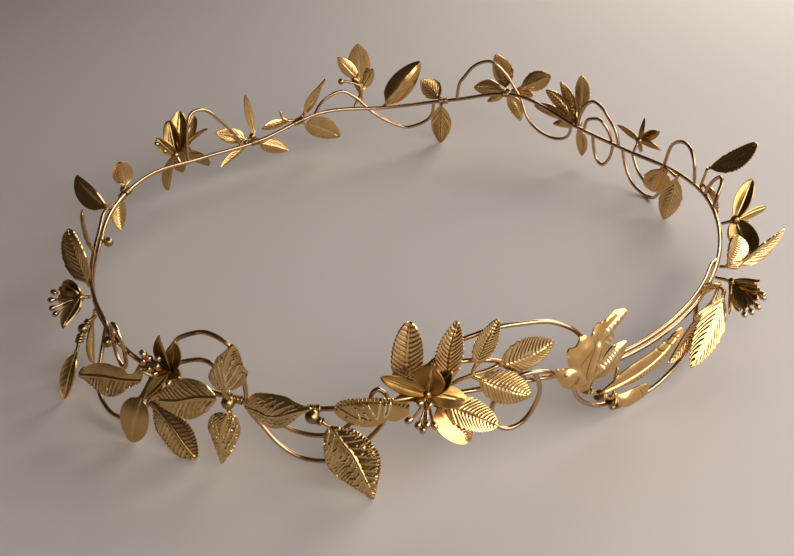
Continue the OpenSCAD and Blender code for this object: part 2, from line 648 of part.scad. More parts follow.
module leaves_hanging_right() {
    inner_leaf_seat = -leaf_seat - 0.2;
    leaf(beside(103.4, inner_leaf_seat), [104.8, -3.4, 0.08], 6.6, roll = 10, bow = -0.6, shape = 0.9,
         stalk = 0.1);
    leaf(beside(109, inner_leaf_seat - 0.3), [111, -2.2, 5.6], 7.4, fold = -10, bow = -0.4, shape = 0.9);
    color(leaf_colour)
        stem([[103.5, -1.7, 15.2], [105, -1.8, 15.6], [107, -1.8, 15.6], [109, -1.7, 14.6]]);
}

module leaf_right_back() {
    color(leaf_colour) {
        stem([beside(95.6, stem_seat), [95.4, 1.6, 20], [95, 2.2, 23.4]]);
        stem([beside(95.6, stem_seat), [95, 1.5, 17.8], [94.4, 1.6, 17.6]]);
    }
    leaf([95.1, 2, 22.8], [92, 14.2, 31.8], 8.8, roll = -20, fold = 12, bow = 0.8);
    leaf([95, 1.6, 17.8], [88, 2.4, 14.4], 5, roll = 10, bow = 0.5, shape = 0.9);
}

flower_right_back_centre = [80, 4.4, 18.4];
module flower_right_back() {
    front = [68, 8, 25];
    petals(flower_right_back_centre, front,
           [[[84, 9.2, 27.8], 4.4, -0.4], [[82.2, 13, 20.6], 3.2, -0.3], [[74.2, 8.8, 12.4], 7.4, -0.6],
            [[84.5, 9.5, 14], 4, -0.4]]);
    heart(flower_right_back_centre, 2.6);
    color(wire_colour)
        stem([beside(80, stem_seat), [80, 2.6, 17.8], flower_right_back_centre]);
}

module leaves_right() {
    color(leaf_colour) stem([beside(65.6, stem_seat), [65.6, 2.6, 16.6], [65.8, 4.4, 16.4], [66, 5.4, 16.4]]);
    leaf([65.3, 2.6, 16.8], [68.6, 4.6, 23.4], 7, roll = -30, bow = 0.5, shape = 1.1);
    leaf([66, 5, 16.4], [76, 16.4, 20], 5, roll = -20, fold = 20, bow = 0.8);
}

flower_right_centre = [62.2, 5, 15.6];
module flower_right() {
    front = [60.5, 12, 14.6];
    petals(flower_right_centre, front,
           [[[62.8, 11.6, 16], 5, -0.4], [[58, 7.2, 10.8], 4.8, -0.4], [[57.6, 9.2, 13.8], 4, -0.4],
            [[64.4, 9.6, 12.2], 4, -0.4]]);
    stamens(flower_right_centre,
            [[64.6, 13, 14.6], [60.4, 13, 14.8], [59.3, 12.4, 14.2], [58.2, 11.6, 13.4], [56.6, 10.4, 13]]);
    heart(flower_right_centre);
    color(wire_colour) stem([beside(62.2, stem_seat), [62.2, 2.8, 16], flower_right_centre]);
}

module spray_right() {
    color(leaf_colour)
        stem([beside(60, stem_seat), [59.6, 2.2, 15.8], [58, 2.6, 15], [56.2, 2.4, 14], [54.4, 2.2, 13]]);
    leaf([58.6, 2.8, 15], [44.8, 6.2, 7.2], 7.6, roll = 45, fold = -10, bow = 1.6, shape = 0.9, stalk = 0.1);
    leaf([54.8, 2.3, 13.2], [42.6, 2, 8.4], 4.6, roll = 20, fold = 14, bow = 0.4);
    leaf([59.6, 2.2, 16], [56, 0.5, 19.2], 5.6, roll = -20, bow = 0.3, shape = 1);
    leaf([56.2, 2.4, 14.4], [49.6, 2.4, 16.2], 5.2, roll = 10, bow = 0.3, shape = 1);
}

module spray_front_right() {
    route = [for (place = smooth(SWEEP_FRONT_RIGHT, 2)) spot(place)];
    // The sleeve sits on the straight run of the sweep between two of its points
    low = route[7];
    high = route[8];
    bound(between(low, high, 0.5), unit(high - low), scroll_wire_d, 2.4) {
        color(binding_colour) bead([30.6, 1.6, 5], 2);
        color(leaf_colour) {
            stem([[30.6, 1.4, 5.4], [30.4, 1.7, 7.4], [30.8, 1.8, 9.6]]);
            stem([[30.8, 1.8, 9.6], [31, 1.6, 12.4], [31.6, stem_seat, 15.4]]);
        }
        leaf([30.6, 1.9, 9.2], [46, 2.6, 15.6], 5.6, roll = -14, fold = 18, bow = 0.8);
        leaf([30.5, 1.6, 6.4], [37, 3.2, 7.2], 3.8, fold = 24, bow = 0.5);
    }
}

ivy_heart = [26.6, 2.1, 19];
module ivy_leaf_front_right() {
    leaf(beside(25, leaf_seat), [31.8, 2.8, 31], 6.6, roll = -20, bow = 0.8, sweep = -1.6, shape = 1.1);
    leaf([26, 2, 17.6], [24.8, 2.8, 28.6], 7, bow = 0.5, shape = 1.1);
    leaf(ivy_heart, [21.6, 3.4, 26], 5, bow = 0.4, shape = 1.1);
    leaf([26, 2, 17.6], [20.4, 4.4, 20.6], 7, roll = 10, bow = 0.6, shape = 1.2);
    leaf([26, 2, 17.2], [32, 2.8, 23.4], 6.4, roll = -15, bow = 0.5, shape = 1.1);
    color(leaf_colour) stem([beside(25, stem_seat), [25.6, 1.8, 17.4], ivy_heart]);
}

head_ring();
arches_front_left();
sweep_front();
sweep_front_inner();
eyelet_front();
arch_front();
branch_front();
curl_front();
sweep_front_right();
eyelet_left();
sweep_left();
twin_wire_left();
arch_right();
arch_right_back();
drop_loops_back_right();
hoop_back_right();
arch_back_right();
scroll_back_right();
scroll_back_left();
arch_back_left();
binding_left();
binding_left_front();
leaf_tall_front();
spray_front();
lily_front();
leaves_low_front();
leaf_long_front();
leaf_drop_front();
leaf_veined_front();
leaf_pair_front_left();
leaf_wide_front_left();
leaf_low_front_left();
leaf_oval_front_left();
leaf_left_front();
lily_left();
bud_left();
flower_left();
leaf_upright_left();
leaf_narrow_left();
leaf_broad_left();
leaves_left_back();
flower_left_back();
sprig_back_left();
leaf_oval_back_left();
leaf_lobed_back();
leaf_curled_back();
leaf_pair_back();
spray_back();
spray_back_right();
flower_back_right();
leaves_hanging_right();
leaf_right_back();
flower_right_back();
twin_wire_right();
leaves_right();
flower_right();
spray_right();
spray_front_right();
ivy_leaf_front_right();
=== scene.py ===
"""Looks of a leaf circlet: a ring of brass wire with wire scrolls, pressed leaves and wire flowers.

The tables hold places as (azimuth in degrees, out from the ring in mm, height in mm). Azimuth 0 is the
front and grows to the right, and heights are measured from the surface that the circlet rests on.
Everything that is built from them is in metres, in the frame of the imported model.
"""

import logging
import math
import random
from dataclasses import dataclass, field
from enum import Enum
from typing import Callable, ClassVar, Iterable, Optional

import bmesh
import bpy
import numpy as np
from mathutils import Matrix, Vector


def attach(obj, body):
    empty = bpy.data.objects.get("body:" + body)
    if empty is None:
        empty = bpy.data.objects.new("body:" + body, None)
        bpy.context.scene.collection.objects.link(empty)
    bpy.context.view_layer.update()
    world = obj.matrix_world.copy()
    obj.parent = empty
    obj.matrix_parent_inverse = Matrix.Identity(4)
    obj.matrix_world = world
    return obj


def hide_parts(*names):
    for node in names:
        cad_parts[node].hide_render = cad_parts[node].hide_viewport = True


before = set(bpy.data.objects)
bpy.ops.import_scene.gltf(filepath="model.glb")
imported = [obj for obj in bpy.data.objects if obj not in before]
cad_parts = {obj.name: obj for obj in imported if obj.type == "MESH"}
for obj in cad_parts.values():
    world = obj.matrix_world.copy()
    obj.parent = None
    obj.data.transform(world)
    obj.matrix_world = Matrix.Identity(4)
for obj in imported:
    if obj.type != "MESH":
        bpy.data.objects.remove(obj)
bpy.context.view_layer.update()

log = logging.getLogger("leaf_circlet")

MM = 0.001

RING_R = 90.0
RING_WIRE_D = 1.2
SCROLL_WIRE_D = 1.1
STEM_D = 0.9
LEAF_T = 0.4
PETAL_T = 0.35
STALK_W = 1.0
THREAD_D = 0.6
THREAD_STEPS = 6
ANTHER_D = 1.6
BINDING_WIRE_D = 0.5
BLADE_TIP_HALF = 0.12
FLOOR_CLEARANCE = 0.03
# How far the middle of a leaf's stalk or of a stem lies from the middle of the ring's wire
SOLDER_SEAT = 0.8

# Steps in a turn of a winding, how much thicker its wire is drawn so that the turns touch, and how long
# a core's cross product with the upright is at least where the core isn't upright itself
COIL_STEPS = 12
COIL_SWELL = 1.04
UPRIGHT = 0.1

# Edges that turn less than this are shaded smooth on round pieces and on sheets, in degrees
ROUND_ANGLE = 60
SHEET_ANGLE = 50

# Guards against division by nothing, and a distance beyond every line
TINY = 1e-9
TOUCHING = 1e-6
VERY_FAR = 1e3

RING_STEP = 15.0
RING_FIRST = -180.0
# A row every RING_STEP degrees from RING_FIRST: (height of the wire, bow out of round), in mm
RING = [
    (17.9, 0), (19, 0), (14, 0), (15, 0), (18.3, 0), (18, -1.2),
    (15.8, -3.5), (16.2, -3.5), (17, -2.2), (17, -0.5), (17, 0), (17, 0),
    (19.4, 0), (19.8, 0), (16.6, 0), (15.8, 0), (16, 0), (17, 0),
    (17.3, 0), (15.5, 0), (13.4, 0), (15.8, 0), (23.3, 0), (20, 0)]

Place = tuple[float, float, float]


def catmull(a: float, b: float, c: float, d: float, t: float) -> float:
    """Smooth value between b and c.

    Args:
        a, b, c, d: Four values in a row.
        t: Share of the way from b to c.

    Returns:
        The value at t.
    """
    square, cube = 2 * a - 5 * b + 4 * c - d, 3 * b - a - 3 * c + d
    return 0.5 * (2 * b + (c - a) * t + square * t * t + cube * t ** 3)


def ring_at(azimuth: float) -> tuple[float, float]:
    """Reads the head ring's shape between the rows of its table.

    Args:
        azimuth: Angle round the circlet in degrees.

    Returns:
        Height of the wire and its bow out of round, in mm.
    """
    place = (azimuth - RING_FIRST) / RING_STEP
    i = math.floor(place)
    rows = [RING[(i + k) % len(RING)] for k in (-1, 0, 1, 2)]
    return (catmull(*[row[0] for row in rows], place - i), catmull(*[row[1] for row in rows], place - i))


def outward(azimuth: float) -> Vector:
    """Direction away from the middle of the circlet at an azimuth."""
    a = math.radians(azimuth)
    return Vector((math.sin(a), -math.cos(a), 0))


def spot(place: Place) -> Vector:
    """Point in space of a place, in metres."""
    radius = RING_R + ring_at(place[0])[1] + place[1]
    return (outward(place[0]) * radius + Vector((0, 0, place[2]))) * MM


def on_ring(azimuth: float, out: float = 0.0, rise: float = 0.0) -> Place:
    """Place told from the middle of the ring's wire, outwards and upwards in mm."""
    return (azimuth, out, ring_at(azimuth)[0] + rise)


def seat(azimuth: float) -> Place:
    """Place on the outer side of the ring where a stalk or a stem is soldered."""
    return on_ring(azimuth, SOLDER_SEAT)


def ring_run(azimuth: float) -> Vector:
    """Direction of the ring's wire at an azimuth."""
    return (spot(on_ring(azimuth + 1)) - spot(on_ring(azimuth - 1))).normalized()


def smooth_route(route: list[Place], steps: int) -> list[Place]:
    """Places along a smooth curve through the places of a route.

    Args:
        route: Places that the curve goes through.
        steps: Number of steps from each place to the next.

    Returns:
        The places along the curve, both ends included.
    """
    last = len(route) - 1
    found = []
    for i in range(last):
        four = [route[max(i - 1, 0)], route[i], route[i + 1], route[min(i + 2, last)]]
        for k in range(steps):
            found.append(tuple(catmull(*[p[axis] for p in four], k / steps) for axis in range(3)))
    return found + [route[last]]


def ring_route(sections: int = 288) -> list[Place]:
    """The head ring's wire all the way round."""
    return [on_ring(RING_FIRST + 360 * i / sections) for i in range(sections)]


def loop_route(centre: Place, half_azimuth: float, half_height: float, corners: int = 40) -> list[Place]:
    """A small closed loop of wire.

    Args:
        centre: Middle of the loop.
        half_azimuth: Half of its width, in degrees.
        half_height: Half of its height, in mm.
        corners: Number of places round it.

    Returns:
        The places round the loop.
    """
    route = []
    for i in range(corners):
        angle = 2 * math.pi * i / corners
        route.append((centre[0] + half_azimuth * math.sin(angle), centre[1],
                      centre[2] + half_height * math.cos(angle)))
    return route


def linear(code: str) -> tuple[float, float, float, float]:
    """Linear colour of an sRGB hex code, as the shaders take it."""
    parts = [int(code[i:i + 2], 16) / 255 for i in (1, 3, 5)]
    return tuple(p / 12.92 if p <= 0.04045 else ((p + 0.055) / 1.055) ** 2.4 for p in parts) + (1.0,)


# Finishes


def add_node(tree: bpy.types.NodeTree, kind: str, settings: dict, links: dict) -> bpy.types.Node:
    """Adds a node to a material's tree.

    Args:
        tree: The material's node tree.
        kind: Type name of the node.
        settings: Values by property name or by input name.
        links: Output sockets by the name or number of the input that they feed.

    Returns:
        The node.
    """
    node = tree.nodes.new(kind)
    for key, value in settings.items():
        if hasattr(node, key):
            setattr(node, key, value)
        else:
            node.inputs[key].default_value = value
    for key, socket in links.items():
        tree.links.new(socket, node.inputs[key])
    return node


@dataclass(frozen=True)
class BrassFinish:
    """A brass surface: bright on its raised relief, as rubbed wear and a painted highlight, and brown in its
    hollows, as antiquing patina and painted shade.
    """

    # From where to where the relief turns brown, as patina and painted shade in the hollows, and turns
    # bright, as rubbed wear and a painted highlight on the raised parts, and the noise turns to tarnish
    HOLLOW: ClassVar[tuple[float, float]] = (-0.15, -1.0)
    RAISED_WEAR_AND_HIGHLIGHT: ClassVar[tuple[float, float]] = (0.1, 0.9)
    TARNISHED: ClassVar[tuple[float, float]] = (0.48, 0.72)

    name: str
    slot: str
    # Colours of the plain metal, of the raised relief (rubbed wear with a painted highlight), and of the
    # hollows and tarnish (patina, with painted shade in the hollows)
    body: str
    bright: str
    recess: str
    roughness: float
    recess_roughness: float
    # Size of a tarnish patch and of the surface's grain, in mm, and how strong each shows
    patch_mm: float
    patch_share: float
    grain_mm: float
    grain_depth_mm: float

    def make(self) -> bpy.types.Material:
        """Builds the material.

        Returns:
            The material, with its colour, roughness and bump worked out on the piece itself.
        """
        material = bpy.data.materials.new(self.name)
        material.use_nodes = True
        tree = material.node_tree
        tree.nodes.clear()
        place = add_node(tree, "ShaderNodeTexCoord", {}, {}).outputs["Object"]
        patches = add_node(tree, "ShaderNodeTexNoise", {"Scale": 1 / (self.patch_mm * MM), "Detail": 4.0},
                           {"Vector": place}).outputs["Fac"]
        grain = add_node(tree, "ShaderNodeTexNoise", {"Scale": 1 / (self.grain_mm * MM), "Detail": 2.0},
                         {"Vector": place}).outputs["Fac"]
        relief = add_node(tree, "ShaderNodeAttribute", {"attribute_name": "relief"}, {}).outputs["Fac"]
        hollow = add_node(tree, "ShaderNodeMapRange",
                          {"From Min": self.HOLLOW[0], "From Max": self.HOLLOW[1]}, {"Value": relief})
        raised = add_node(tree, "ShaderNodeMapRange",
                          {"From Min": self.RAISED_WEAR_AND_HIGHLIGHT[0], "From Max": self.RAISED_WEAR_AND_HIGHLIGHT[1]}, {"Value": relief})
        stained = add_node(tree, "ShaderNodeMapRange",
                           {"From Min": self.TARNISHED[0], "From Max": self.TARNISHED[1],
                            "To Max": self.patch_share}, {"Value": patches})
        dark = add_node(tree, "ShaderNodeMath", {"operation": "MAXIMUM"},
                        {0: hollow.outputs[0], 1: stained.outputs[0]})
        # Painted highlight and shade: the raised relief is mixed towards the bright colour, the hollows
        # towards the recess colour
        body = add_node(tree, "ShaderNodeMix", {"data_type": "RGBA"}, {"Factor": raised.outputs[0]})
        body.inputs[6].default_value = linear(self.body)
        body.inputs[7].default_value = linear(self.bright)
        colour = add_node(tree, "ShaderNodeMix", {"data_type": "RGBA"}, {"Factor": dark.outputs[0]})
        tree.links.new(body.outputs[2], colour.inputs[6])
        colour.inputs[7].default_value = linear(self.recess)
        rough = add_node(tree, "ShaderNodeMapRange",
                         {"To Min": self.roughness, "To Max": self.recess_roughness},
                         {"Value": dark.outputs[0]})
        bump = add_node(tree, "ShaderNodeBump", {"Strength": 1.0, "Distance": self.grain_depth_mm * MM},
                        {"Height": grain})
        shader = add_node(tree, "ShaderNodeBsdfPrincipled", {"Metallic": 1.0},
                          {"Base Color": colour.outputs[2], "Roughness": rough.outputs[0],
                           "Normal": bump.outputs[0]})
        add_node(tree, "ShaderNodeOutputMaterial", {}, {"Surface": shader.outputs[0]})
        return material


# Drawn brass wire, waxed: an even pale sheen with a fine drawn grain
WIRE_BRASS = BrassFinish(
    name="drawn_brass_wire", slot="brass_wire", body="#c9ab88", bright="#e3ccaa", recess="#806248",
    roughness=0.22, recess_roughness=0.36, patch_mm=9, patch_share=0.3, grain_mm=0.5, grain_depth_mm=0.004)
# Stamped brass leaf, lightly antiqued and rubbed back: pale ridges, rubbed bright and painted with a
# highlight, and brown hollows between the veins, holding the antiquing and painted with shade
LEAF_BRASS = BrassFinish(
    name="stamped_antique_brass_leaf", slot="antique_brass_leaf", body="#d9b67e", bright="#f7e7b8",
    recess="#6a4b26", roughness=0.25, recess_roughness=0.4, patch_mm=5, patch_share=0.3, grain_mm=0.35,
    grain_depth_mm=0.01)
# Pressed brass petal, lacquered: smoother and yellower than the leaves, with a darker body that is partly
# painted shade for the dim room that the petals reflect, and painted highlight and shade on its rib
PETAL_BRASS = BrassFinish(
    name="pressed_pale_brass_petal", slot="pale_brass_petal", body="#b89a64", bright="#e8d59a",
    recess="#60451f", roughness=0.3, recess_roughness=0.4, patch_mm=4, patch_share=0.4, grain_mm=0.5,
    grain_depth_mm=0.005)
# Brass binding wire and beads, left with their darker patina
BINDING_BRASS = BrassFinish(
    name="patinated_brass_binding", slot="dark_brass_binding", body="#b89d70", bright="#dcc394",
    recess="#553918", roughness=0.28, recess_roughness=0.42, patch_mm=2, patch_share=0.6, grain_mm=0.3,
    grain_depth_mm=0.008)


# Bench work: the few handlings that all pieces share


def deselect_all() -> None:
    """Leaves nothing selected."""
    for item in bpy.context.selected_objects:
        item.select_set(False)


def pick(items: list[bpy.types.Object]) -> None:
    """Selects these objects alone and makes the first one active.

    Args:
        items: The objects.
    """
    deselect_all()
    for item in items:
        item.select_set(True)
    bpy.context.view_layer.objects.active = items[0]


def select_vertices(item: bpy.types.Object, test: Callable[[bmesh.types.BMVert], bool]) -> bool:
    """Selects the vertices that pass a test, in edit mode.

    Args:
        item: The object that is being edited.
        test: Tells whether a vertex is wanted.

    Returns:
        Whether there are any.
    """
    mesh = bmesh.from_edit_mesh(item.data)
    for vertex in mesh.verts:
        vertex.select = test(vertex)
    found = any(vertex.select for vertex in mesh.verts)
    mesh.select_flush_mode()
    bmesh.update_edit_mesh(item.data)
    return found


def move_vertices(item: bpy.types.Object, test: Callable[[Vector], bool], offset: Place) -> None:
    """Moves the vertices whose place passes a test, in edit mode."""
    if select_vertices(item, lambda vertex: test(vertex.co)):
        bpy.ops.transform.translate(value=offset)


def copy_mesh(item: bpy.types.Object) -> bpy.types.Object:
    """Copies an object and its mesh.

    Args:
        item: The object.

    Returns:
        The copy, with a mesh of its own.
    """
    made = bpy.data.objects.new("copy", item.data.copy())
    bpy.context.scene.collection.objects.link(made)
    return made


def join(items: list[bpy.types.Object], name: str) -> bpy.types.Object:
    """Joins mesh objects into one and names it.

    Args:
        items: The objects. One alone is only named.
        name: The name of the object and of its mesh.

    Returns:
        The object.
    """
    pick(items)
    if len(items) > 1:
        bpy.ops.object.join()
    made = bpy.context.view_layer.objects.active
    made.name = name
    made.data.name = name
    return made


def tube(points: list[Vector], diameter: float, closed: bool = False, fineness: int = 2,
         ends: float = 1.0) -> bpy.types.Object:
    """A round wire through points.

    Args:
        points: Middle of the wire, in metres.
        diameter: Diameter of the wire in mm.
        closed: Whether the wire runs back into its start.
        fineness: The curve's bevel resolution: 2 gives 8 sides.
        ends: Size of the first and last section of an open wire as a share of the diameter.

    Returns:
        The wire as a mesh object.
    """
    deselect_all()
    bpy.ops.curve.primitive_nurbs_path_add()
    item = bpy.context.view_layer.objects.active
    curve = item.data
    curve.splines.clear()
    spline = curve.splines.new("POLY")
    spline.points.add(len(points) - 1)
    for knot, point in zip(spline.points, points):
        knot.co = (*point, 1)
        knot.radius = 1
    if not closed:
        spline.points[0].radius = ends
        spline.points[-1].radius = ends
    spline.use_cyclic_u = closed
    curve.dimensions = "3D"
    curve.bevel_depth = diameter / 2 * MM
    curve.bevel_resolution = fineness
    curve.use_fill_caps = True
    item.location = (0, 0, 0)
    pick([item])
    bpy.ops.object.convert(target="MESH")
    return bpy.context.view_layer.objects.active


def coil(middle: Vector, run: Vector, core_d: float, length: float,
         wire_d: float = BINDING_WIRE_D) -> bpy.types.Object:
    """Binding wire wound side by side round a core.

    Args:
        middle: Middle of the winding.
        run: Direction of the core.
        core_d: Diameter that it is wound on, in mm.
        length: Length of the winding along the core, in mm.
        wire_d: Diameter of the binding wire, in mm.

    Returns:
        The winding as a mesh object.
    """
    steps = max(1, round(length / wire_d)) * COIL_STEPS
    side = run.cross(Vector((0, 0, 1)))
    if side.length < UPRIGHT:
        side = run.cross(Vector((0, 1, 0)))
    side.normalize()
    up = run.cross(side).normalized()
    radius = (core_d + wire_d) / 2 * MM
    points = []
    for k in range(steps + 1):
        angle = 2 * math.pi * k / COIL_STEPS
        along = (k / steps - 0.5) * length * MM
        points.append(middle + run * along + (side * math.cos(angle) + up * math.sin(angle)) * radius)
    return tube(points, wire_d * COIL_SWELL, fineness=1, ends=0.5)


class BeadForm:
    """A small bead, turned once and copied to each place."""

    # Radius of the ball. Its poles are drawn in from above this height, by this much
    RADIUS = 0.5
    POLE = 0.49
    DRAWN_IN = 0.06
    # How much thinner a drop is at its low pole, and how late it gets thinner
    DROP_TAPER = 0.5
    DROP_POWER = 1.5

    def __init__(self) -> None:
        """Turns the bead: a ball of one metre with its poles drawn in."""
        deselect_all()
        bpy.ops.mesh.primitive_uv_sphere_add(segments=16, ring_count=10, radius=self.RADIUS)
        self.form = bpy.context.view_layer.objects.active
        bpy.ops.object.mode_set(mode="EDIT")
        move_vertices(self.form, lambda co: co.z > self.POLE, (0, 0, -self.DRAWN_IN))
        move_vertices(self.form, lambda co: co.z < -self.POLE, (0, 0, self.DRAWN_IN))
        bpy.ops.object.mode_set(mode="OBJECT")

    def place(self, middle: Vector, axis: Vector, diameter: float, stretch: float = 1.0) -> bpy.types.Object:
        """Copies the bead to a place.

        Args:
            middle: Middle of the bead.
            axis: Direction of its poles.
            diameter: Diameter in mm.
            stretch: Length between the poles as a share of the diameter. Over 1 gives a drop, whose
                thin end is at the low pole.

        Returns:
            The bead.
        """
        made = copy_mesh(self.form)
        if stretch > 1:
            for vertex in made.data.vertices:
                low = max(0.0, -vertex.co.z / self.RADIUS)
                taper = 1 - self.DROP_TAPER * low ** self.DROP_POWER
                vertex.co = (vertex.co.x * taper, vertex.co.y * taper, vertex.co.z * stretch)
        turn = axis.to_track_quat("Z", "Y").to_matrix().to_4x4()
        made.data.transform(Matrix.Translation(middle) @ turn @ Matrix.Scale(diameter * MM, 4))
        return made

    def clear(self) -> None:
        """Puts the turned bead away."""
        bpy.data.objects.remove(self.form)


def note_relief(sheet: bpy.types.Object, values: Iterable[float]) -> None:
    """Stores the relief of a sheet, which the finish paints as a highlight where it is raised and as shade
    where it is sunk, over the rubbed wear and patina.

    Args:
        sheet: The sheet.
        values: How high each vertex counts, from -1 in the hollows to 1 on the veins.
    """
    relief = sheet.data.attributes.new("relief", "FLOAT", "POINT")
    for note, value in zip(relief.data, values):
        note.value = max(-1.0, min(1.0, value))


def lie(foot: Place, tip: Place, face: Optional[Vector]) -> tuple[Vector, Vector, Vector, Vector]:
    """How a sheet lies from a foot to a tip with its face turned one way.

    Args:
        foot: Where it begins.
        tip: Where it ends.
        face: Where its face looks, as nearly as it can, or None for straight out of the circlet.

    Returns:
        Its start and its end, the direction along it and the direction out of its face.
    """
    start, end = spot(foot), spot(tip)
    along = (end - start).normalized()
    face = face or outward((foot[0] + tip[0]) / 2)
    return start, end, along, (face - along * face.dot(along)).normalized()


def rolled(along: Vector, level: Vector, degrees: float) -> tuple[Vector, Vector]:
    """Rolls a sheet about its own length.

    Args:
        along: Direction of its length.
        level: Direction out of its face before it is rolled.
        degrees: How far it is rolled.

    Returns:
        The directions out of its face and across it.
    """
    roll = math.radians(degrees)
    normal = level * math.cos(roll) + along.cross(level) * math.sin(roll)
    return normal, along.cross(normal)


def above_floor(place: Vector, thickness: float) -> Vector:
    """The place, raised to where a sheet of a thickness in mm is clear of the surface."""
    place.z = max(place.z, (FLOOR_CLEARANCE + thickness / 2) * MM)
    return place


# Stamped blades


@dataclass(frozen=True)
class Stamp:
    """The die that a leaf or petal is pressed with. Shares are of the half width or of the length."""

    pairs: int
    # Heights in mm of the rows of faces from one vein to the next, and columns of faces on each half
    profile: tuple[float, ...]
    columns: int
    # How far a vein climbs from the midrib to the edge, and how much it turns towards the tip
    climb: float
    curl: float
    # Height of the midrib and of the lines beside it, in mm
    rib: float
    rib_side: float
    # Part of the half width that the veins cross
    veins_from: float = 0.06
    veins_to: float = 0.96
    # How far the teeth stand out, and rows from one tooth to the next, 0 for a plain edge
    tooth: float = 0.0
    tooth_rows: int = 0
    # Whether only the left half has veins and teeth
    left_only: bool = False
    # 1 gives a fold along the midrib and 2 a rounded cup
    cup: float = 1.2
    thickness: float = LEAF_T


class Die(Enum):
    """The dies that the circlet's leaves and petals are pressed with."""

    # Close straight veins between sharp grooves, with a tooth at each vein
    HERRINGBONE = Stamp(pairs=14, profile=(0.06, 0.03, -0.1, -0.01), columns=7, climb=0.34, curl=1.3,
                        rib=-0.14, rib_side=0.12, tooth=0.09, tooth_rows=4)
    # Puffed between sharp grooves, so that the edge looks scalloped
    PILLOW = Stamp(pairs=13, profile=(-0.12, 0.04, 0.08, 0.04), columns=7, climb=0.3, curl=1.3, rib=0.1,
                   rib_side=-0.12, veins_to=1.1, tooth=0.07, tooth_rows=4, cup=1.3)
    # The same struck softer, for the leaves that are worn nearly smooth towards the edge
    SOFT = Stamp(pairs=11, profile=(0.09, 0.03, -0.09, -0.02), columns=6, climb=0.5, curl=1.3, rib=-0.06,
                 rib_side=0.06, veins_to=0.85, tooth=0.08, tooth_rows=4)
    # Long fine lines, nearly level with the edge
    SWEPT = Stamp(pairs=8, profile=(0.12, 0.02, -0.02, -0.12), columns=9, climb=0.8, curl=1.2, rib=-0.16,
                  rib_side=0.06, veins_to=0.9, cup=1.6)
    # Veined and toothed on the left half alone
    HALF = Stamp(pairs=13, profile=(0.13, 0.04, -0.13, -0.03), columns=7, climb=0.5, curl=1.2, rib=0.1,
                 rib_side=-0.06, veins_from=0.25, tooth=0.09, tooth_rows=4, left_only=True, cup=1.3)
    # Nearly smooth, with a fine toothed edge
    FINE = Stamp(pairs=8, profile=(0.03, 0.0, -0.03, 0.0), columns=7, climb=0.4, curl=1.2, rib=0.08,
                 rib_side=-0.03, tooth=0.04, tooth_rows=2, cup=1.7)
    # A smooth dished blade with a rib
    SMOOTH = Stamp(pairs=6, profile=(0.02, 0.0, -0.02, 0.0), columns=7, climb=0.3, curl=1.4, rib=0.14,
                   rib_side=-0.04, cup=1.8)
    # A petal with one thin line down its middle
    PETAL = Stamp(pairs=7, profile=(0.0, 0.0, 0.0), columns=7, climb=0.1, curl=1.4, rib=0.16, rib_side=-0.04,
                  cup=1.9, thickness=PETAL_T)


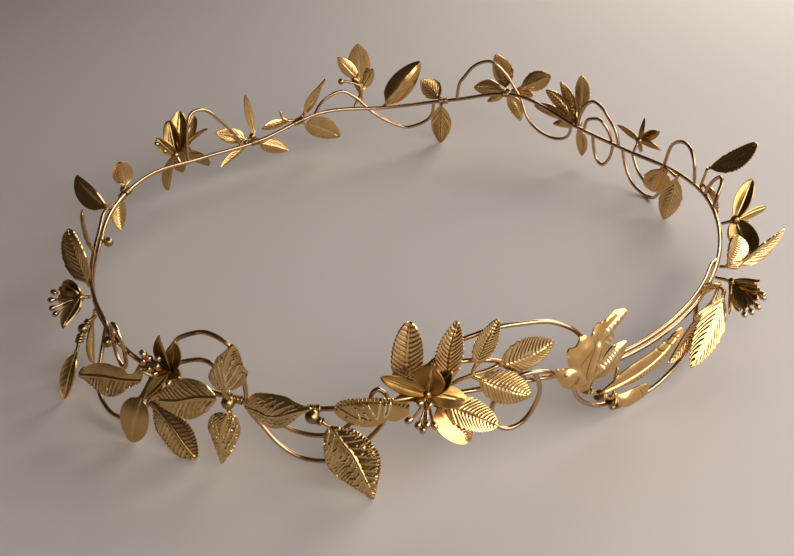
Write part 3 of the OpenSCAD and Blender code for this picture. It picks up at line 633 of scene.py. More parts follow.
class StampedForm:
    """A blade pressed flat with one die, ready to be laid in many places."""

    STALK_ROWS = 3
    # The relief is pressed in steps of this height, and a relief of this height counts as full in the
    # painted highlight and shade, in mm
    PRESS_STEP = 0.02
    RELIEF_FULL = 0.18
    # Shares of the half width and of the length over which the veins fade at the edge and at both ends,
    # and how much of their height is left at the edge, at the tip and at the base
    EDGE_FADE = 0.12
    END_FADE = 0.1
    EDGE_LEFT = 0.35
    TIP_LEFT = 0.25
    BASE_LEFT = 0.3
    # How the columns crowd towards the midrib, and how late their climb dies away towards the tip
    CROWDING = 1.1
    CLIMB_POWER = 0.75
    # A vertex of the flat form that lies further out than this is on its edge
    EDGE = 0.99
    # How far a tooth leans forwards, in rows
    TOOTH_LEAN = 0.8

    def __init__(self, die: Die) -> None:
        """Presses the flat form.

        Args:
            die: The die that it is pressed with.
        """
        self.stamp: Stamp = die.value
        self.vein_rows = len(self.stamp.profile)
        self.blade_rows = self.stamp.pairs * self.vein_rows
        self.total_rows = self.blade_rows + self.STALK_ROWS
        deselect_all()
        bpy.ops.mesh.primitive_grid_add(x_subdivisions=2 * self.stamp.columns,
                                        y_subdivisions=self.total_rows, size=2)
        self.form = bpy.context.view_layer.objects.active
        self.form.name = "form_" + die.name.lower()
        bpy.ops.object.mode_set(mode="EDIT")
        self._press()
        self._cut_teeth()
        bpy.ops.object.mode_set(mode="OBJECT")
        # The die's height becomes the relief that the finish paints: highlight on the raised rows, shade in
        # the sunk rows
        note_relief(self.form, [vertex.co.z / self.RELIEF_FULL for vertex in self.form.data.vertices])

    def _row(self, co: Vector) -> int:
        """Row of a vertex of the flat form, counted from the blade's base."""
        return round((co.y + 1) / 2 * self.total_rows) - self.STALK_ROWS

    def _height(self, co: Vector) -> float:
        """Height of the die over a vertex of the flat form.

        Args:
            co: Place of the vertex.

        Returns:
            The height in mm.
        """
        stamp = self.stamp
        row, across = self._row(co), abs(co.x)
        column = round(across * stamp.columns)
        if column == 0:
            return stamp.rib
        if row <= 0 or row >= self.blade_rows:
            return 0.0
        height = stamp.rib_side if column == 1 else 0.0
        veined = stamp.veins_from < across < stamp.veins_to and row >= self.vein_rows // 2
        if veined and not (stamp.left_only and co.x > 0):
            fade = min(1.0, (stamp.veins_to - across) / self.EDGE_FADE + self.EDGE_LEFT)
            height += stamp.profile[row % self.vein_rows] * fade
        return height

    def _press(self) -> None:
        """Presses the relief into the flat form, one height after another."""
        heights: dict[int, set[int]] = {}
        for vertex in bmesh.from_edit_mesh(self.form.data).verts:
            step = round(self._height(vertex.co) / self.PRESS_STEP)
            heights.setdefault(step, set()).add(vertex.index)
        for step, members in sorted(heights.items()):
            if step:
                select_vertices(self.form, lambda vertex: vertex.index in members)
                bpy.ops.transform.translate(value=(0, 0, step * self.PRESS_STEP))

    def _cut_teeth(self) -> None:
        """Draws every few edge vertices outwards and forwards into saw teeth."""
        stamp = self.stamp
        if not stamp.tooth_rows:
            return
        forward = self.TOOTH_LEAN * 2 / self.total_rows
        rows = set(range(stamp.tooth_rows, self.blade_rows - 1, stamp.tooth_rows))
        for side in (-1,) if stamp.left_only else (-1, 1):
            move_vertices(self.form, lambda co: co.x * side > self.EDGE and self._row(co) in rows,
                          (side * stamp.tooth, forward, 0))

    def sheet(self, co: Vector) -> Place:
        """Turns a vertex of the flat form to its place on a blade.

        Args:
            co: Place in the flat form.

        Returns:
            Share of the half width, share of the length, which is below 0 on the stalk, and height in mm.
        """
        start = -1 + 2 * self.STALK_ROWS / self.total_rows
        x = math.copysign(abs(co.x) ** self.CROWDING, co.x)
        if self._row(co) <= 0:
            return x, (co.y - start) / (start + 1), co.z
        y = max((co.y - start) / (1 - start), 0.0)
        fan = (1 - math.exp(-y / self.END_FADE)) * max(1 - y, 0.0) ** self.CLIMB_POWER
        climbed = y + self.stamp.climb * fan * min(abs(x), 1) ** self.stamp.curl
        tip_fade = min(1, (1 - y) / self.END_FADE + self.TIP_LEFT)
        base_fade = min(1, self.BASE_LEFT + y / self.END_FADE)
        return x, min(climbed, 1), co.z * (tip_fade * base_fade)

    def clear(self) -> None:
        """Puts the flat form away."""
        bpy.data.objects.remove(self.form)


@dataclass
class Blade:
    """A stamped blade from a foot to a tip. Lengths are in mm and angles in degrees."""

    # How far a stalk's edges are folded down, as a share of its width, where along its length a blade
    # starts to curl, and how far at most a blade leans to one side, in mm
    STALK_FOLD: ClassVar[float] = 0.3
    CURL_FROM: ClassVar[float] = 0.55
    LEAN: ClassVar[float] = 0.2
    # The waves of the edge: how many radians from base to tip, and how far the right edge's are shifted
    WAVES: ClassVar[float] = 5
    WAVE_SHIFT: ClassVar[float] = 1.5

    foot: Place
    tip: Place
    width: float
    die: Die = Die.HERRINGBONE
    roll: float = 0
    fold: float = 12
    bow: float = 0.8
    sweep: float = 0
    shape: float = 0.8
    stalk: float = 0.08
    # Fullness of the outline, less for a blunt tip
    full: float = 0.66
    # Turn of the blade about its own length by its tip, curl of the tip and wave of the edges
    twist: float = 0.0
    curl: float = 0.0
    wave: float = 0.25
    facing: Optional[Vector] = None

    def lay(self, form: StampedForm, seed: int) -> bpy.types.Object:
        """Lays a copy of the pressed form along this blade.

        Args:
            form: The flat form pressed with this blade's die.
            seed: Sets the small hand-bent waves of the sheet.

        Returns:
            The blade as a single sheet.
        """
        draw = random.Random(seed)
        phase = draw.uniform(0, 2 * math.pi)
        lean = draw.uniform(-self.LEAN, self.LEAN)
        start, end, along, level = lie(self.foot, self.tip, self.facing)
        fold = math.radians(self.fold)
        made = copy_mesh(form.form)
        for vertex in made.data.vertices:
            x, y, rise = form.sheet(vertex.co)
            s = max(y, 0)
            t = self.stalk * (1 + y) if y < 0 else self.stalk + (1 - self.stalk) * y
            normal, across = rolled(along, level, self.roll + self.twist * s)
            half = self._half_width(s) * MM
            side = min(abs(x), 1.0)
            lift = half * math.sin(fold) * side ** form.stamp.cup
            if y <= 0:
                lift -= STALK_W * self.STALK_FOLD * MM * side * side
            shift = self.WAVE_SHIFT if x > 0 else 0
            hand_bent = self.wave * MM * side * s * math.sin(phase + self.WAVES * s + shift)
            curled = self.curl * MM * max(0, (s - self.CURL_FROM) / (1 - self.CURL_FROM)) ** 2
            bend = (normal * self.bow + across * self.sweep) * (4 * t * (1 - t) * MM)
            rise = lift + rise * MM + hand_bent - curled + lean * MM * x * s
            place = start + (end - start) * t + bend + across * (half * math.cos(fold) * x) + normal * rise
            vertex.co = above_floor(place, form.stamp.thickness)
        return made

    def _half_width(self, s: float) -> float:
        """Half width of the blade at a place along it.

        Args:
            s: Share of its length, the bare stalk left out.

        Returns:
            The half width in mm.
        """
        if s >= 1:
            return BLADE_TIP_HALF
        wave = max(math.sin(math.pi * s ** self.shape), 0) ** self.full
        return max(self.width / 2 * wave, STALK_W / 2 * (1 - s), BLADE_TIP_HALF)


# Sawn leaves

# A mark on a sawn leaf is (to the right, up from the foot), in hundredths of the length from foot to tip
Mark = tuple[float, float]
HUNDREDTHS = 100


def segments(line: list[Mark], closed: bool = False, steps: int = 3) -> np.ndarray:
    """Short straight pieces of a smooth line through marks.

    Args:
        line: The marks.
        closed: Whether the line runs back into its start.
        steps: Pieces from each mark to the next. 1 keeps the line's corners.

    Returns:
        A row for each piece: its start and its end, in shares of the leaf's length.
    """
    count = len(line)
    found = []
    for i in range(count if closed else count - 1):
        around = range(i - 1, i + 3)
        four = [line[k % count if closed else min(max(k, 0), count - 1)] for k in around]
        for k in range(steps):
            found.append(tuple(catmull(*[p[axis] for p in four], k / steps) for axis in (0, 1)))
    found.append(found[0] if closed else line[-1])
    points = np.array(found, dtype=float) / HUNDREDTHS
    return np.hstack([points[:-1], points[1:]])


def nearest_on(points: np.ndarray, pieces: np.ndarray) -> tuple[np.ndarray, np.ndarray, np.ndarray]:
    """Nearest places on a line to points.

    Args:
        points: A row for each point.
        pieces: The line's pieces, as segments gives them.

    Returns:
        The nearest places, their distances, and how far along the line they lie.
    """
    starts, runs = pieces[:, :2], pieces[:, 2:] - pieces[:, :2]
    lengths = np.maximum(np.linalg.norm(runs, axis=1), TINY)
    offsets = points[:, None, :] - starts[None, :, :]
    t = np.clip((offsets * runs).sum(2) / lengths ** 2, 0, 1)
    places = starts[None, :, :] + runs[None, :, :] * t[:, :, None]
    distances = np.linalg.norm(points[:, None, :] - places, axis=2)
    best = distances.argmin(1)
    rows = np.arange(len(points))
    before = np.concatenate([[0], np.cumsum(lengths)[:-1]])
    return places[rows, best], distances[rows, best], before[best] + t[rows, best] * lengths[best]


def distance_to(points: np.ndarray, lines: list[list[Mark]]) -> np.ndarray:
    """Distances of points from the nearest of some lines.

    Args:
        points: A row for each point.
        lines: The lines' marks.

    Returns:
        The distances, very far where there are no lines.
    """
    if not lines:
        return np.full(len(points), VERY_FAR)
    return nearest_on(points, np.vstack([segments(line) for line in lines]))[1]


def inside(points: np.ndarray, pieces: np.ndarray) -> np.ndarray:
    """Tells which points lie inside a closed outline.

    Args:
        points: A row for each point.
        pieces: The outline's pieces.

    Returns:
        Whether each point lies inside.
    """
    x, y = points[:, 0:1], points[:, 1:2]
    x0, y0, x1, y1 = pieces.T
    rise = np.where(y1 == y0, TINY, y1 - y0)
    crossed = ((y0 > y) != (y1 > y)) & (x < x0 + (x1 - x0) * (y - y0) / rise)
    return crossed.sum(1) % 2 == 1


@dataclass
class Veins:
    """Fine veins that leave the midrib at an even pitch. Lengths are in mm."""

    pitch: float
    # How far up the midrib a vein has climbed at each mm from it, and how much of that it loses again
    climb: float
    bend: float
    height: float
    width: float
    # Depth of the veins on the right and on the left of the midrib
    right: float = 1.0
    left: float = 1.0
    # Distance from the midrib at which each vein forks, 0 for none
    fork: float = 0.0

    # How much higher the right veins start, in pitches, and the width over which a fork opens
    RIGHT_START: ClassVar[float] = 0.45
    FORK_OPENS: ClassVar[float] = 1.2
    # Distance from the midrib at which the veins start, and the width over which they deepen
    START: ClassVar[float] = 0.35
    DEEPENS: ClassVar[float] = 0.3
    # Depth of the hollow on a vein's lower side, and its distance in vein widths
    HOLLOW: ClassVar[float] = 0.8
    HOLLOW_OFF: ClassVar[float] = 1.7
    # Veins chased by hand wander along and from one to the next by these shares of a pitch. Their
    # strength is about the one share and differs by the other
    WANDER_ALONG: ClassVar[float] = 0.04
    WANDER_NEXT: ClassVar[float] = 0.06
    STRENGTH: ClassVar[float] = 0.85
    UNEVEN: ClassVar[float] = 0.25

    def comb(self, away: np.ndarray, run: np.ndarray, right: np.ndarray) -> np.ndarray:
        """Cuts the veins: 1 on a vein, -1 in the hollow beside it and 0 on the plain sheet.

        Args:
            away: Distances from the midrib.
            run: How far up the midrib each place is.
            right: Whether each place is on the right half.

        Returns:
            The veins' share at each place.
        """
        wander = self.WANDER_ALONG * np.sin(0.9 * away + 0.4 * run)
        wander += self.WANDER_NEXT * np.sin(0.5 * run + 1.3 * right)
        order = (run - self.climb * away + self.bend * away ** 2) / self.pitch
        order += self.RIGHT_START * right + wander
        strength = self.STRENGTH + self.UNEVEN * np.sin(7.3 * np.round(order) + 2)
        comb = self._vein(order)
        if self.fork:
            split = 0.5 * np.clip((away - self.fork) / self.FORK_OPENS, 0, 1)
            comb = np.maximum(comb, self._vein(order + split) * (away > self.fork))
        depth = np.where(right, self.right, self.left) * np.clip((away - self.START) / self.DEEPENS, 0, 1)
        return comb * strength * depth

    def _vein(self, order: np.ndarray) -> np.ndarray:
        """One vein at each whole number, with a hollow on its lower side."""
        off = (order - np.round(order)) * self.pitch / self.width
        return np.exp(-off ** 2) - self.HOLLOW * np.exp(-(off + self.HOLLOW_OFF) ** 2)


@dataclass
class CutLeaf:
    """A leaf sawn to an outline of its own and chased by hand. Lengths are in mm."""

    CELL: ClassVar[float] = 0.18
    # Depth of the nick between two teeth
    NICK_DEPTH: ClassVar[float] = 0.25
    # How bright a ridge and a fine line are rubbed and painted with a highlight
    RIDGE_WEAR_AND_HIGHLIGHT: ClassVar[float] = 0.35
    LINE_WEAR_AND_HIGHLIGHT: ClassVar[float] = 0.9
    # Distance from the middle at which the cup is full, as a share of the length, and how late it rises
    CUP_REACH: ClassVar[float] = 0.3
    CUP_POWER: ClassVar[float] = 1.6

    foot: Place
    tip: Place
    outline: list[Mark]
    # Broad raised lines, the first one being the midrib, fine raised lines and fine sunk lines
    ridges: list[list[Mark]] = field(default_factory=list)
    strokes: list[list[Mark]] = field(default_factory=list)
    grooves: list[list[Mark]] = field(default_factory=list)
    veins: Optional[Veins] = None
    # Domed places of the sheet: (right, up and size in hundredths, height in mm)
    domes: list[tuple[float, float, float, float]] = field(default_factory=list)
    # Parts of the outline along which the sheet is folded back
    folds: list[list[Mark]] = field(default_factory=list)
    roll: float = 0
    bow: float = 0.8
    # How far the edge stands forward of the middle
    cup: float = 0.0
    ridge_mm: float = 0.3
    ridge_height: float = 0.3
    stroke_mm: float = 0.16
    stroke_height: float = 0.26
    fold_mm: float = 1.5
    fold_slope: float = 0.45
    # Teeth from one share of the outline's length to another, their height and pitch
    toothed: tuple[float, float] = (0.0, 0.0)
    tooth: float = 0.28
    pitch: float = 0.9
    # Width and length of the nick between two teeth
    nick_mm: float = 0.17
    nick_length: float = 0.7
    # Straight pieces from each mark of the outline to the next
    steps: int = 3

    def cut(self) -> bpy.types.Object:
        """Saws the leaf out of a sheet and presses its lines and domes.

        Returns:
            The leaf as a single sheet.
        """
        start, end, along, level = lie(self.foot, self.tip, None)
        length = (end - start).length / MM
        normal, across = rolled(along, level, self.roll)
        edge = segments(self.outline, closed=True, steps=self.steps)
        sheet = self._saw(edge, length)
        flat = np.array([(vertex.co.x, vertex.co.y) for vertex in sheet.data.vertices])
        heights, wear_and_painted_light = self._chase(flat, edge, length)
        note_relief(sheet, wear_and_painted_light)
        for vertex, height in zip(sheet.data.vertices, heights):
            level_place = start + (along * vertex.co.y + across * vertex.co.x) * (length * MM)
            vertex.co = above_floor(level_place + normal * (height * MM), LEAF_T)
        return sheet

    def _chase(self, flat: np.ndarray, edge: np.ndarray, length: float) -> tuple[np.ndarray, np.ndarray]:
        """Works out how the sheet is chased.

        Args:
            flat: Places on the flat sheet, in shares of the length.
            edge: The outline's pieces.
            length: Length of the leaf.

        Returns:
            Height of each place, and its painted light from -1 to 1: bright where it is rubbed and painted
            with a highlight, dark where it is painted with shade.
        """
        ridge = self._raised(flat, self.ridges, length / self.ridge_mm)
        stroke = self._raised(flat, self.strokes, length / self.stroke_mm)
        groove = self._raised(flat, self.grooves, length / self.stroke_mm)
        rise = self.ridge_height * ridge + self.stroke_height * (stroke - groove)
        comb = np.zeros(len(flat))
        if self.veins:
            places, distances, run = nearest_on(flat, segments(self.ridges[0]))
            comb = self.veins.comb(distances * length, run * length, flat[:, 0] >= places[:, 0])
            rise += comb * self.veins.height
        for right, up, size, height in self.domes:
            off = np.hypot(flat[:, 0] * HUNDREDTHS - right, flat[:, 1] * HUNDREDTHS - up)
            rise += height * np.exp(-(off / size) ** 2)
        back = distance_to(flat, self.folds) * length
        rise -= self.fold_slope * np.maximum(0, self.fold_mm - back) ** 2 / (2 * self.fold_mm)
        rise += self.bow * 4 * flat[:, 1] * (1 - flat[:, 1])
        middle = np.mean([mark[0] for mark in self.outline]) / HUNDREDTHS
        rise += self.cup * (np.abs(flat[:, 0] - middle) / self.CUP_REACH) ** self.CUP_POWER
        _, distances, teeth, toothed = self._teeth(flat, edge, length)
        nick = np.exp(-((teeth - np.round(teeth)) * self.pitch / self.nick_mm) ** 2)
        nick *= np.clip(1 - distances * length / self.nick_length, 0, 1) ** 0.5 * toothed
        # Painted highlight on the ridges, raised lines and veins; painted shade in the sunk lines, in the
        # hollows beside the veins and in the nicks between the teeth
        wear_and_painted_light = self.RIDGE_WEAR_AND_HIGHLIGHT * ridge + self.LINE_WEAR_AND_HIGHLIGHT * (stroke - groove + comb) - nick
        return rise - self.NICK_DEPTH * nick, wear_and_painted_light

    @staticmethod
    def _raised(flat: np.ndarray, lines: list[list[Mark]], sharpness: float) -> np.ndarray:
        """How much of some lines' height each place has: 1 on a line and 0 away from it."""
        return np.exp(-(distance_to(flat, lines) * sharpness) ** 2)

    def _teeth(self, points: np.ndarray, edge: np.ndarray,
               length: float) -> tuple[np.ndarray, np.ndarray, np.ndarray, np.ndarray]:
        """Finds the nearest places on the outline.

        Args:
            points: Places on the flat sheet, in shares of the length.
            edge: The outline's pieces.
            length: Length of the leaf.

        Returns:
            The nearest places, their distances, the number of teeth up to them, and whether they are in
            the toothed part.
        """
        places, distances, run = nearest_on(points, edge)
        share = run / np.linalg.norm(edge[:, 2:] - edge[:, :2], axis=1).sum()
        toothed = (share >= self.toothed[0]) & (share <= self.toothed[1])
        return places, distances, run * length / self.pitch, toothed

    def _saw(self, edge: np.ndarray, length: float) -> bpy.types.Object:
        """Cuts a grid down to the outline, draws its rim onto the outline and files the teeth.

        Args:
            edge: The outline's pieces.
            length: Length of the leaf.

        Returns:
            The flat sheet, in shares of the length.
        """
        low, high = edge[:, :2].min(0), edge[:, :2].max(0)
        cells = np.ceil((high - low) * length / self.CELL).astype(int)
        deselect_all()
        bpy.ops.mesh.primitive_grid_add(x_subdivisions=int(cells[0]), y_subdivisions=int(cells[1]), size=1)
        sheet = bpy.context.view_layer.objects.active
        for vertex in sheet.data.vertices:
            vertex.co = (*((low + high) / 2 + np.array(vertex.co[:2]) * (high - low)), 0)
        within = inside(np.array([tuple(vertex.co[:2]) for vertex in sheet.data.vertices]), edge)
        bpy.ops.object.mode_set(mode="EDIT")
        select_vertices(sheet, lambda vertex: not within[vertex.index])
        bpy.ops.mesh.delete(type="VERT")
        bpy.ops.mesh.select_all(action="SELECT")
        bpy.ops.mesh.delete_loose()
        mesh = bmesh.from_edit_mesh(sheet.data)
        rim = [vertex for vertex in mesh.verts if vertex.is_boundary]
        here = np.array([tuple(vertex.co[:2]) for vertex in rim])
        places, distances, teeth, toothed = self._teeth(here, edge, length)
        out = (places - here) / np.maximum(distances, TOUCHING)[:, None]
        saw = self.tooth / length * (1 - teeth % 1) * toothed
        for vertex, (x, y) in zip(rim, places + out * saw[:, None]):
            vertex.co = (x, y, 0)
        bmesh.update_edit_mesh(sheet.data)
        bpy.ops.object.mode_set(mode="OBJECT")
        return sheet


class Bench:
    """Holds the forms and finishes that the sub-assemblies are made with, and dresses the pieces."""

    def __init__(self) -> None:
        """Presses the flat forms, turns the bead and mixes the finishes."""
        self.forms = {die: StampedForm(die) for die in Die}
        self.bead = BeadForm()
        finishes = (WIRE_BRASS, LEAF_BRASS, PETAL_BRASS, BINDING_BRASS)
        self.materials = {finish.name: finish.make() for finish in finishes}
        self.count = 0

    def press(self, blades: list[Blade], thickness: float, cut: Iterable[CutLeaf] = ()) -> bpy.types.Object:
        """Presses blades and gives them their thickness. Each blade has its own number as its seed.

        Args:
            blades: The blades.
            thickness: Thickness of the sheet in mm.
            cut: Leaves sawn to outlines of their own, from the same sheet.

        Returns:
            The blades as one mesh object.
        """
        sheets = [blade.lay(self.forms[blade.die], self.count + i + 1) for i, blade in enumerate(blades)]
        self.count += len(blades)
        made = join(sheets + [leaf.cut() for leaf in cut], "sheets")
        pick([made])
        solid = made.modifiers.new("thickness", "SOLIDIFY")
        solid.thickness = thickness * MM
        solid.offset = 0
        bpy.ops.object.modifier_apply(modifier=solid.name)
        return made

    def dress(self, parts: list[bpy.types.Object], node: str, label: str, finish: BrassFinish,
              angle: float = ROUND_ANGLE) -> None:
        """Joins parts into a piece and gives it its finish and its place in the frame.

        Args:
            parts: The parts of the piece.
            node: Name of the CAD node that it stands for.
            label: What the piece is, added to the node's name.
            finish: Its finish.
            angle: Edges that turn less than this many degrees are shaded smooth.
        """
        piece = join(parts, f"{node}_{label}")
        pick([piece])
        bpy.ops.object.shade_smooth_by_angle(angle=math.radians(angle))
        piece.data.materials.append(self.materials[finish.name])
        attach(piece, "root")
        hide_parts(node)
        log.info("%s: %d faces", piece.name, len(piece.data.polygons))

    def clear(self) -> None:
        """Puts all forms away."""
        for form in self.forms.values():
            form.clear()
        self.bead.clear()


# Sub-assemblies


@dataclass
class Wires:
    """Wires that are soldered into one piece."""

    node: str
    routes: list[list[Place]]
    diameter: float = SCROLL_WIRE_D
    # Steps from each place of a route to the next, 1 for a route that is already smooth
    steps: int = 8
    closed: bool = False
    fineness: int = 2

    def build(self, bench: Bench) -> None:
        """Draws the wires and dresses them as one piece.

        Args:
            bench: The bench that it is made on.
        """
        wires = []
        for route in self.routes:
            points = [spot(place) for place in smooth_route(route, self.steps)]
            wires.append(tube(points, self.diameter, self.closed, self.fineness, ends=0.8))
        bench.dress(wires, self.node, "wire", WIRE_BRASS)


@dataclass
class Bead:
    """A bead on a binding."""

    place: Place
    diameter: float = 2.6


@dataclass
class Sleeve:
    """Binding wire wound round the head ring."""

    azimuth: float
    length: float = 3.0


@dataclass
class Wrap:
    """Binding wire wound round a stem from one place to another."""

    start: Place
    end: Place
    core_d: float = STEM_D
    wire_d: float = 0.7


@dataclass
class Spray:
    """Leaves that share stems, beads and a binding."""

    node: str
    leaves: list[Blade] = field(default_factory=list)
    cut: list[CutLeaf] = field(default_factory=list)
    stems: list[list[Place]] = field(default_factory=list)
    stem_finish: BrassFinish = LEAF_BRASS
    beads: list[Bead] = field(default_factory=list)
    sleeve: Optional[Sleeve] = None
    wraps: list[Wrap] = field(default_factory=list)

    def build(self, bench: Bench) -> None:
        """Builds the leaves, the stems and the binding and dresses each with its finish.

        Args:
            bench: The bench that it is made on.
        """
        if self.leaves or self.cut:
            leaves = bench.press(self.leaves, LEAF_T, self.cut)
            bench.dress([leaves], self.node, "leaves", LEAF_BRASS, SHEET_ANGLE)
        if self.stems:
            routes = [smooth_route(route, steps=6) for route in self.stems]
            stems = [tube([spot(place) for place in route], STEM_D, ends=0.75) for route in routes]
            bench.dress(stems, self.node, "stems", self.stem_finish)
        if self.beads or self.sleeve or self.wraps:
            self._build_binding(bench)

    def _build_binding(self, bench: Bench) -> None:
        """Winds the sleeve and the wraps and sets the beads.

        Args:
            bench: The bench that it is made on.
        """
        parts = [bench.bead.place(spot(bead.place), outward(bead.place[0]), bead.diameter)
                 for bead in self.beads]
        if self.sleeve:
            azimuth = self.sleeve.azimuth
            parts.append(coil(spot(on_ring(azimuth)), ring_run(azimuth), RING_WIRE_D, self.sleeve.length))
        for wrap in self.wraps:
            start, end = spot(wrap.start), spot(wrap.end)
            middle, line = (start + end) / 2, end - start
            parts.append(coil(middle, line.normalized(), wrap.core_d, line.length / MM, wrap.wire_d))
        bench.dress(parts, self.node, "binding", BINDING_BRASS)


@dataclass
class Petal:
    """One petal of a flower."""

    tip: Place
    width: float
    bow: float = 0.0
    fold: float = 22
    curl: float = 0.0
    shape: float = 1.0
    full: float = 0.66
    # Where its face looks, where that isn't where the flower faces
    face: Optional[tuple[float, float, float]] = None


@dataclass
class Flower:
    """A flower of pressed petals with beaded stamens on a wire stem."""

    node: str
    centre: Place
    front: Place
    petals: list[Petal]
    stamens: list[Place]
    stem: list[Place]
    heart_d: float = 2.2
    # How far the threads bend out before they reach their beads, as a share of their length
    droop: float = 0.12

    def build(self, bench: Bench) -> None:
        """Builds the petals, the stem with its stamens, and the heart.

        Args:
            bench: The bench that it is made on.
        """
        facing = (spot(self.front) - spot(self.centre)).normalized()
        petals = [Blade(self.centre, petal.tip, petal.width, Die.PETAL, fold=petal.fold, bow=petal.bow,
                        shape=petal.shape, full=petal.full, stalk=0, curl=petal.curl, wave=0.3,
                        facing=Vector(petal.face) if petal.face else facing)
                  for petal in self.petals]
        bench.dress([bench.press(petals, PETAL_T)], self.node, "petals", PETAL_BRASS, SHEET_ANGLE)
        centre = spot(self.centre)
        stem = smooth_route(self.stem + [self.centre], steps=4)
        parts = [tube([spot(place) for place in stem], STEM_D)]
        for place in self.stamens:
            end = spot(place)
            bent = (centre + end) / 2 + facing * (self.droop * (end - centre).length)
            shares = [k / THREAD_STEPS for k in range(THREAD_STEPS + 1)]
            thread = [centre.lerp(bent, t).lerp(bent.lerp(end, t), t) for t in shares]
            parts.append(tube(thread, THREAD_D, fineness=1))
            parts.append(bench.bead.place(end, end - bent, ANTHER_D, stretch=1.4))
        bench.dress(parts, self.node, "stamens", WIRE_BRASS)
        heart = bench.bead.place(centre, facing, self.heart_d)
        bench.dress([heart], self.node, "heart", BINDING_BRASS)


# What the circlet holds

# A second wire along the ring on the left, as (azimuth, above the ring's wire), and one on the right, as
# (azimuth, out of the ring's wire, above it)
TWIN_LEFT = [(-58.4, 0.9), (-61.5, 1.9), (-70, 2.4), (-78, 2.2), (-86, 2.6), (-94, 2.6), (-99, 3.2),
    (-103, 2), (-105.4, 0.9)]
TWIN_RIGHT = [(28.5, -0.2, 0.3), *[(azimuth, -1.2, 0.4) for azimuth in (30.5, 36, 44, 52, 60, 65.5)],
    (67.5, -0.2, 0.3)]

SWEEP_FRONT_RIGHT = [on_ring(23.8), (24.4, 0, 12.6), (25.8, 0, 9), (28.3, 0, 6.2), (31.8, 0, 4.6),
    (36.7, 0.4, 2.8), (41.2, 1, 3.2), (47.6, 1.4, 5.6), (50.7, 1, 7.8), (52.8, 0.4, 11.2), on_ring(53.6)]

